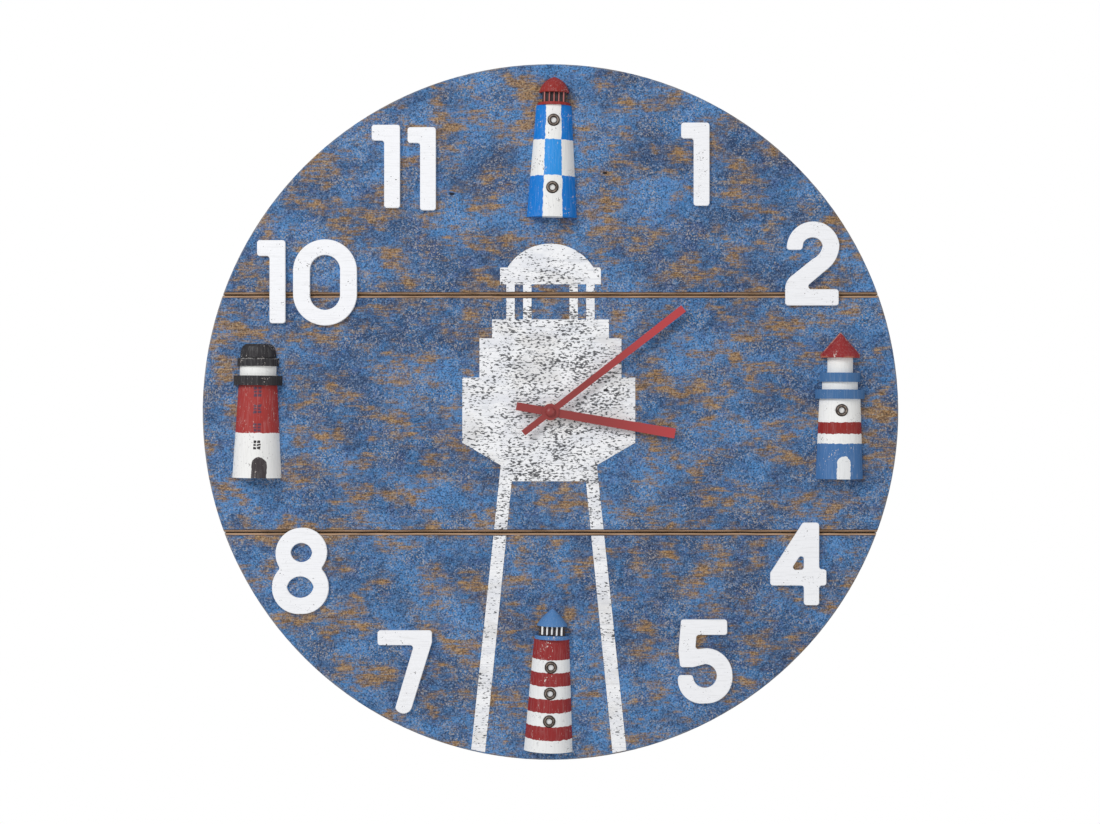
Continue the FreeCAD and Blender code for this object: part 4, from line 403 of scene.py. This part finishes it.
# the rods have the gallery's brick red, painted paler as a painted highlight along their thin round
# fronts
rod_red_with_painted_highlight = chipped_paint("red_on_rods_with_painted_highlight", "#b56c68", chipped=0.2, scratched=0.3, seed=65)
finish(rod_red_with_painted_highlight, "north_bars")
lamp_black = chipped_paint("lamp_black_enamel", "#2a2326", chipped=0.2, scratched=0.4, seed=72)
finish(lamp_black, "north_lantern")


# The lighthouse at three: a block tower in blue, white and red bands with a white painted door,
# two blue galleries round a white drum, a white lantern and a red cone on top. Every tier is a
# bowed slab glued on the next.

EAST_FOOT = (240.6, -55.7, 0.5)
# where each band ends and the colour above it
EAST_BANDS = ((29.5, "#f6f6f5"), (37.5, "#8f2622"), (47.3, "#f6f6f5"))
# a cone between two heights, with its half width at each
EAST_ROOF_UP = (103.5, 121.5)
EAST_ROOF_HALVES = (16.5, 0.8)
# it is rubbed this far in from its slopes, and along its lower edge up to this height
EAST_ROOF_WORN_IN = 0.9
EAST_ROOF_WORN_UP = 102


def arched(tree, column, row, middle, spring, half):
    """1 inside a round-headed door that stands on the foot of a tower; lengths in millimetres."""
    off = add_node(tree, "ShaderNodeMath", {0: column, 1: middle * MM}, operation="SUBTRACT")
    over = add_node(tree, "ShaderNodeMath", {0: row, 1: spring * MM}, operation="SUBTRACT")
    over = add_node(tree, "ShaderNodeMath", {0: over, 1: 0}, operation="MAXIMUM")
    out = add_node(tree, "ShaderNodeCombineXYZ", {0: off, 1: over})
    out = add_node(tree, "ShaderNodeVectorMath", {0: out}, operation="LENGTH")
    return short_of(tree, out, half)


def east_bands(tree, place):
    column, row = stood(tree, place, EAST_FOOT)
    bands = "#4472a9"
    for line, colour in EAST_BANDS:
        bands = laid_over(tree, bands, colour, beyond(tree, row, line))
    return laid_over(tree, bands, "#eceef0", arched(tree, column, row, middle=1.9, spring=12.9, half=5.8))


def rubbed_red(tree, place):
    """Brick red, rubbed through to bare wood down both slopes and in places along the lower edge."""
    column, row = stood(tree, place, EAST_FOOT)
    slope = {"Value": row, "From Min": EAST_ROOF_UP[0] * MM, "From Max": EAST_ROOF_UP[1] * MM}
    slope.update({"To Min": EAST_ROOF_HALVES[0] * MM, "To Max": EAST_ROOF_HALVES[1] * MM})
    slope = add_node(tree, "ShaderNodeMapRange", slope)
    inside = {0: slope, 1: apart(tree, column, 0)}
    inside = add_node(tree, "ShaderNodeMath", inside, operation="SUBTRACT")
    low = short_of(tree, row, EAST_ROOF_WORN_UP)
    low_worn = blots(tree, place, 0.46, 0.58, (1, (5, 5, 5), 102))
    red = laid_over(tree, "#90292a", "#b0684e", low, low_worn, 0.8)
    edge = short_of(tree, inside, EAST_ROOF_WORN_IN)
    edge_worn = blots(tree, place, 0.44, 0.58, (1, (4, 4, 4), 101))
    return laid_over(tree, red, "#cf9c8c", edge, edge_worn, 0.8)


bands = chipped_paint("blue_white_red_enamel", east_bands, chipped=0.7, scratched=0.5, seed=80)
finish(bands, "east_tower")
slate_blue = chipped_paint("slate_blue_enamel", "#436e9f", chipped=0.2, scratched=0.2, seed=90)
finish(slate_blue, "east_gallery_lower", "east_gallery_upper")
white_enamel = chipped_paint("white_enamel", "#f8f8f6", chipped=0.5, scratched=0, seed=100)
finish(white_enamel, "east_drum", "east_lantern")
roof_red = chipped_paint("rubbed_brick_red_enamel", rubbed_red, chipped=0.35, scratched=0.5, seed=104)
finish(roof_red, "east_roof")


# The lighthouse at six: a tapered tower with four brick red bands on white, brushed by eye so
# that they sag, under a thin blue gallery, five white rods and a pointed blue dome.

SOUTH_FOOT = (-1.9, -282.2, 1.8)
# the red bands; the uppermost runs on past the top of the tower
SOUTH_BANDS = ((10.1, 21.4), (32.7, 44.0), (54.5, 65.8), (76.4, 120))
# a band's ends rise above its middle by this times the square of their way out, in metres
SOUTH_SAG = 2.5
# the height up to which the foot of the rods is painted black, as a painted shadow above the gallery
SOUTH_PAINTED_SHADOW_UP = 97.2


def south_bands(tree, place):
    column, row = stood(tree, place, SOUTH_FOOT)
    square = add_node(tree, "ShaderNodeMath", {0: column, 1: column}, operation="MULTIPLY")
    row = add_node(tree, "ShaderNodeMath", {0: square, 1: -SOUTH_SAG, 2: row}, operation="MULTIPLY_ADD")
    bands = "#eff0f1"
    for low, high in SOUTH_BANDS:
        bands = laid_over(tree, bands, "#90292a", between(tree, row, low, high))
    return bands


def rods_with_painted_shadow(tree, place):
    """White down to a line just above the gallery, and black below it: a painted shadow at the foot of
    the rods.
    """
    row = stood(tree, place, SOUTH_FOOT)[1]
    return laid_over(tree, "#2a2326", "#f8f8f6", beyond(tree, row, SOUTH_PAINTED_SHADOW_UP))


bands = chipped_paint("red_and_white_enamel", south_bands, chipped=0.7, scratched=0.8, seed=110)
finish(bands, "south_tower")
sea_blue = chipped_paint("sea_blue_enamel", "#5080b7", chipped=0.2, scratched=0.2, seed=95)
finish(sea_blue, "south_gallery", "south_roof")
finish(lamp_black, "south_lantern")
rod_enamel_and_shadow = chipped_paint("white_rod_enamel_with_painted_shadow", rods_with_painted_shadow, chipped=0.2, scratched=0, seed=105)
finish(rod_enamel_and_shadow, "south_bars")


# The lighthouse at nine: a tower brushed white at the foot and red above, with painted panes and
# an arched door, under a black gallery, a white drum and a flattened black dome.

WEST_FOOT = (-244.7, -54.8, 0.7)
WEST_RED_UP = 37.4
# how far right of the tower's middle the windows stand, the upper and lower edge of each on the
# red and of the one on the white, their widths and the half widths of their glazing bars
WINDOWS_ACROSS = 1.4
RED_WINDOWS, RED_PANES_WIDE = ((75.7, 67.5), (60.9, 53.9), (45.4, 38.6)), 6.1
WHITE_WINDOW, WHITE_PANES_WIDE = (31.2, 24.1), 5.8
BAR_HALF, CROSSBAR_HALF = 0.4, 0.35
# the band along the upper edge of the roof's rim that carries a painted highlight
WEST_RIM_EDGE = (98.7, 99.8)


def panes(tree, column, row, high, low, wide):
    """Shares whose product is 1 inside two columns and three rows of panes between two heights."""
    middle, tall = (high + low) / 2, high - low
    across = apart(tree, column, WINDOWS_ACROSS * MM)
    up = apart(tree, row, middle * MM)
    from_crossbar = apart(tree, up, tall / 6 * MM)
    return (
        between(tree, across, BAR_HALF, wide / 2),
        short_of(tree, up, tall / 2),
        beyond(tree, from_crossbar, CROSSBAR_HALF),
    )


def west_paint(tree, place):
    column, row = stood(tree, place, WEST_FOOT)
    paint = laid_over(tree, "#f0f0ef", "#a03532", beyond(tree, row, WEST_RED_UP))
    for window in RED_WINDOWS:
        glass = panes(tree, column, row, *window, RED_PANES_WIDE)
        paint = laid_over(tree, paint, "#3f3b50", *glass, 0.85)
    glass = panes(tree, column, row, *WHITE_WINDOW, WHITE_PANES_WIDE)
    paint = laid_over(tree, paint, "#1f1d20", *glass)
    return laid_over(tree, paint, "#3b3538", arched(tree, column, row, middle=3.4, spring=11.2, half=6.2))


def black_with_painted_highlight(tree, place):
    """Black, painted pale in patches along the upper edge of the roof's rim: a painted highlight where
    that edge meets the light.
    """
    row = stood(tree, place, WEST_FOOT)[1]
    wear_and_painted_light = blots(tree, place, 0.46, 0.58, (1, (3.5, 3.5, 3.5), 131))
    return laid_over(tree, "#252326", "#8f8c8c", between(tree, row, *WEST_RIM_EDGE), wear_and_painted_light)


paint = chipped_paint("red_over_white_enamel", west_paint, chipped=1, scratched=0.9, seed=120)
finish(paint, "west_tower")
black = chipped_paint("black_enamel", black_with_painted_highlight, chipped=0.95, scratched=0, seed=130)
finish(black, "west_gallery", "west_roof")
finish(white_enamel, "west_drum")


# The porthole rings: small iron eyelets, oil-blackened and a little uneven, pressed into round
# seats in the fronts of the towers. A pale line is painted round the crown of each as a painted
# highlight.

# blackened iron: dark and smooth, with pale grey painted in uneven patches on the crown, where the
# surface faces straight forward: a painted highlight
black_iron, tree, shader, place = new_material("oil_blackened_iron", 0.45, metallic=0.6)
facing = add_node(tree, "ShaderNodeNewGeometry", {}).node.outputs["Normal"]
facing = add_node(tree, "ShaderNodeSeparateXYZ", {"Vector": facing}).node.outputs["Y"]
painted_crown_highlight = add_node(tree, "ShaderNodeMapRange", {"Value": facing, "From Min": -0.9, "From Max": -0.99})
uneven = blots(tree, place, 0.36, 0.60, (1, (2.5, 2.5, 2.5), 140))
dress(tree, shader, laid_over(tree, "#352c28", "#8a7e74", painted_crown_highlight, uneven), uneven, 0.1, 0.4)
finish(black_iron, "porthole_rings")


# The hands: aluminium stamped as flat flared bars and sprayed crimson, on push-fit hubs, with a
# small domed nut of the same red in front.

# sprayed lacquer: smooth, with a soft gleam and a faint orange peel; the red is painted darker
# towards the hub and brighter towards the tips, as painted shade and painted highlight
PAINTED_SHADE_TO, PAINTED_HIGHLIGHT_FROM = 40, 108
crimson, tree, shader, place = new_material("crimson_lacquer_on_aluminium", 0.38, ior=1.5)
halfway, soft = (PAINTED_SHADE_TO + PAINTED_HIGHLIGHT_FROM) / 2, (PAINTED_HIGHLIGHT_FROM - PAINTED_SHADE_TO) / 2
painted_highlight = beyond(tree, from_arbor(tree, place), halfway, soft)
peel = blots(tree, place, 0.3, 0.7, (1, (1.6, 1.6, 1.6), 150))
dress(tree, shader, laid_over(tree, "#8a302f", "#b4393e", painted_highlight), peel, 0.02, 0.4)
finish(crimson, "hour_hand", "minute_hand", "cap_nut")


# The frame behind: two sawn pine battens that hold the planks flat and a pine block for the
# hanger, screwed from behind with countersunk zinc-plated screws.


def sawn_pine(name, size, seed):
    """Pine with growth rings of a size in millimetres and the finer fuzz that the saw left."""
    material, tree, shader, place = new_material(name, 0.74, ior=1.5)
    fuzz = blots(tree, place, 0.52, 0.70, (1, [side / 6 for side in size], seed))
    wood = laid_over(tree, "#d6b283", "#b3874f", blots(tree, place, 0.42, 0.60, (1, size, seed + 1)))
    dress(tree, shader, laid_over(tree, wood, "#8f6a3f", fuzz, 0.5), fuzz, 0.15)
    return material


def clouded(name, pale, dark, size, seed, ends=(0.40, 0.62), deep=0, **surface):
    """A material that drifts between two close tones, in clouds of a size in millimetres."""
    material, tree, shader, place = new_material(name, **surface)
    clouds = blots(tree, place, *ends, (1, size, seed))
    dress(tree, shader, laid_over(tree, pale, dark, clouds), clouds, deep)
    return material


# sawn pine: dry and fuzzy, with growth rings as long streaks
finish(sawn_pine("pine_sawn_upright", (3.4, 3.4, 130), 160), "batten_left", "batten_right")
finish(sawn_pine("pine_sawn_crosswise", (130, 3.4, 3.4), 170), "hanging_block")

# zinc plate: a cool grey metal with a cloudy bloom
zinc = clouded("zinc_plated_steel", "#b9bcc0", "#9fa3a8", (5, 5, 5), 180, roughness=0.36, metallic=1)
finish(zinc, "hanger_plate", "back_screws", "battery_contacts")


# The clamp of the movement: a threaded sleeve comes through the board between a rubber washer
# behind and a brass washer and hexagonal nut in front, all hidden under the hands' hubs.

# turned brass: warm metal with fine lathe rings
brass = {"ends": (0.40, 0.60), "roughness": 0.3, "metallic": 1}
turned_brass = clouded("turned_brass", "#c9a055", "#b58a42", (3, 0.3, 3), 190, **brass)
finish(turned_brass, "brass_washer", "shaft_nut", "minute_arbor")

# moulded rubber: nearly black and dull
rubber = {"ends": (0.45, 0.62), "roughness": 0.82, "ior": 1.52}
soft_rubber = clouded("moulded_rubber", "#1c1b1b", "#2a2928", (2, 2, 2), 200, **rubber)
finish(soft_rubber, "rubber_washer")


# The movement: a black ABS case with a snap-on cover and a fluted knob for setting the hands. A
# brass sleeve is moulded into the front of the case, threaded for the nut.

CASE_FRONT = -19.05

# spark-eroded ABS: a fine matt grain, drawn a millimetre coarse to show
ABS_TONES = ("#17181a", "#232427")
SPARK_SIZE, SPARK_SEED, SPARK_ENDS = (1, 1, 1), 210, (0.40, 0.65)
sparked = {"ends": SPARK_ENDS, "deep": 0.04, "roughness": 0.55, "ior": 1.53}
black_abs = clouded("moulded_black_abs", *ABS_TONES, SPARK_SIZE, SPARK_SEED, **sparked)
finish(black_abs, "movement_cover", "setting_knob")

# the case is the same plastic, and brass from the plane of its front on, with a thread of 1.1 mm:
# the wave repeats every 0.314 of its scale
sleeved_case, tree, shader, place = new_material("black_abs_with_brass_sleeve", 0.5)
spark = blots(tree, place, *SPARK_ENDS, (1, SPARK_SIZE, SPARK_SEED))
depth = add_node(tree, "ShaderNodeSeparateXYZ", {"Vector": place}).node.outputs["Y"]
sleeve = short_of(tree, depth, CASE_FRONT, 0.04)
thread = {"Vector": place, "Scale": 1 / (3.5 * MM)}
thread = add_node(tree, "ShaderNodeTexWave", thread, bands_direction="Y").node.outputs["Fac"]
thread = add_node(tree, "ShaderNodeMath", {0: thread, 1: sleeve}, operation="MULTIPLY")
plastic = laid_over(tree, *ABS_TONES, spark)
dress(tree, shader, laid_over(tree, plastic, "#c09648", sleeve), thread, 0.3, 0.8)
tree.links.new(sleeve, shader.inputs["Metallic"])
finish(sleeved_case, "movement_case")

# moulded acetal: milky, waxy plastic
ivory = clouded("moulded_acetal", "#ece8dc", "#ded8c8", (7, 7, 7), 220, roughness=0.4, ior=1.48)
finish(ivory, "hour_wheel", "minute_wheel", "centre_wheel", "third_wheel", "intermediate_wheel")

# bonded magnet: a dark grey cast plastic
magnet = clouded("bonded_magnet", "#4b4b50", "#3b3b40", (1.5, 1.5, 1.5), 230, roughness=0.45, ior=1.6)
finish(magnet, "rotor")


# The motor and its electronics: a stamped soft-iron plate, a bobbin of enamelled copper wire, a
# green glass-fibre laminate with a chip and a quartz crystal, and one ordinary AA cell.

# stamped iron: grey metal with rolling streaks
iron = clouded("stamped_soft_iron", "#8d9095", "#7c7f85", (12, 0.8, 0.8), 240, roughness=0.4, metallic=1)
finish(iron, "stator")

# enamelled wire: coppery turns, drawn a millimetre apart to show, each painted pale on its crown
# and dark between turns as painted highlight and painted shade: the wave repeats every 0.314 of its scale
enamelled_wire, tree, shader, place = new_material("enamelled_copper_wire", 0.35, metallic=0.6)
turns = {"Vector": place, "Scale": 1 / (3.2 * MM), "Distortion": 0.4}
turns = add_node(tree, "ShaderNodeTexWave", turns, bands_direction="X").node.outputs["Fac"]
dress(tree, shader, laid_over(tree, "#7d3a1e", "#c26a38", turns), turns, 0.08, 0.7)
finish(enamelled_wire, "coil")

# glass-fibre laminate: green under a clear resin
laminate = {"roughness": 0.35, "ior": 1.55}
laminate = clouded("green_glass_fibre_laminate", "#1e5a34", "#2a6e42", (1.2, 1.2, 1.2), 250, **laminate)
finish(laminate, "circuit_board")

# shrunk sleeve of a dry cell: glossy film, with a gold shoulder and the bare steel of the nub
SHOULDER_FROM, NUB_FROM = 12, 24.7
cell_sleeve, tree, shader, place = new_material("shrunk_cell_sleeve", 0.3, ior=1.55)
along = add_node(tree, "ShaderNodeSeparateXYZ", {"Vector": place}).node.outputs["X"]
sleeve = laid_over(tree, "#2a2f3c", "#b78a3d", beyond(tree, along, SHOULDER_FROM))
sleeve = laid_over(tree, sleeve, "#c9ccd0", beyond(tree, along, NUB_FROM))
dress(tree, shader, sleeve)
shader.inputs["Coat Weight"].default_value = 0.3
finish(cell_sleeve, "battery")


bpy.context.scene.view_settings.view_transform = "Standard"
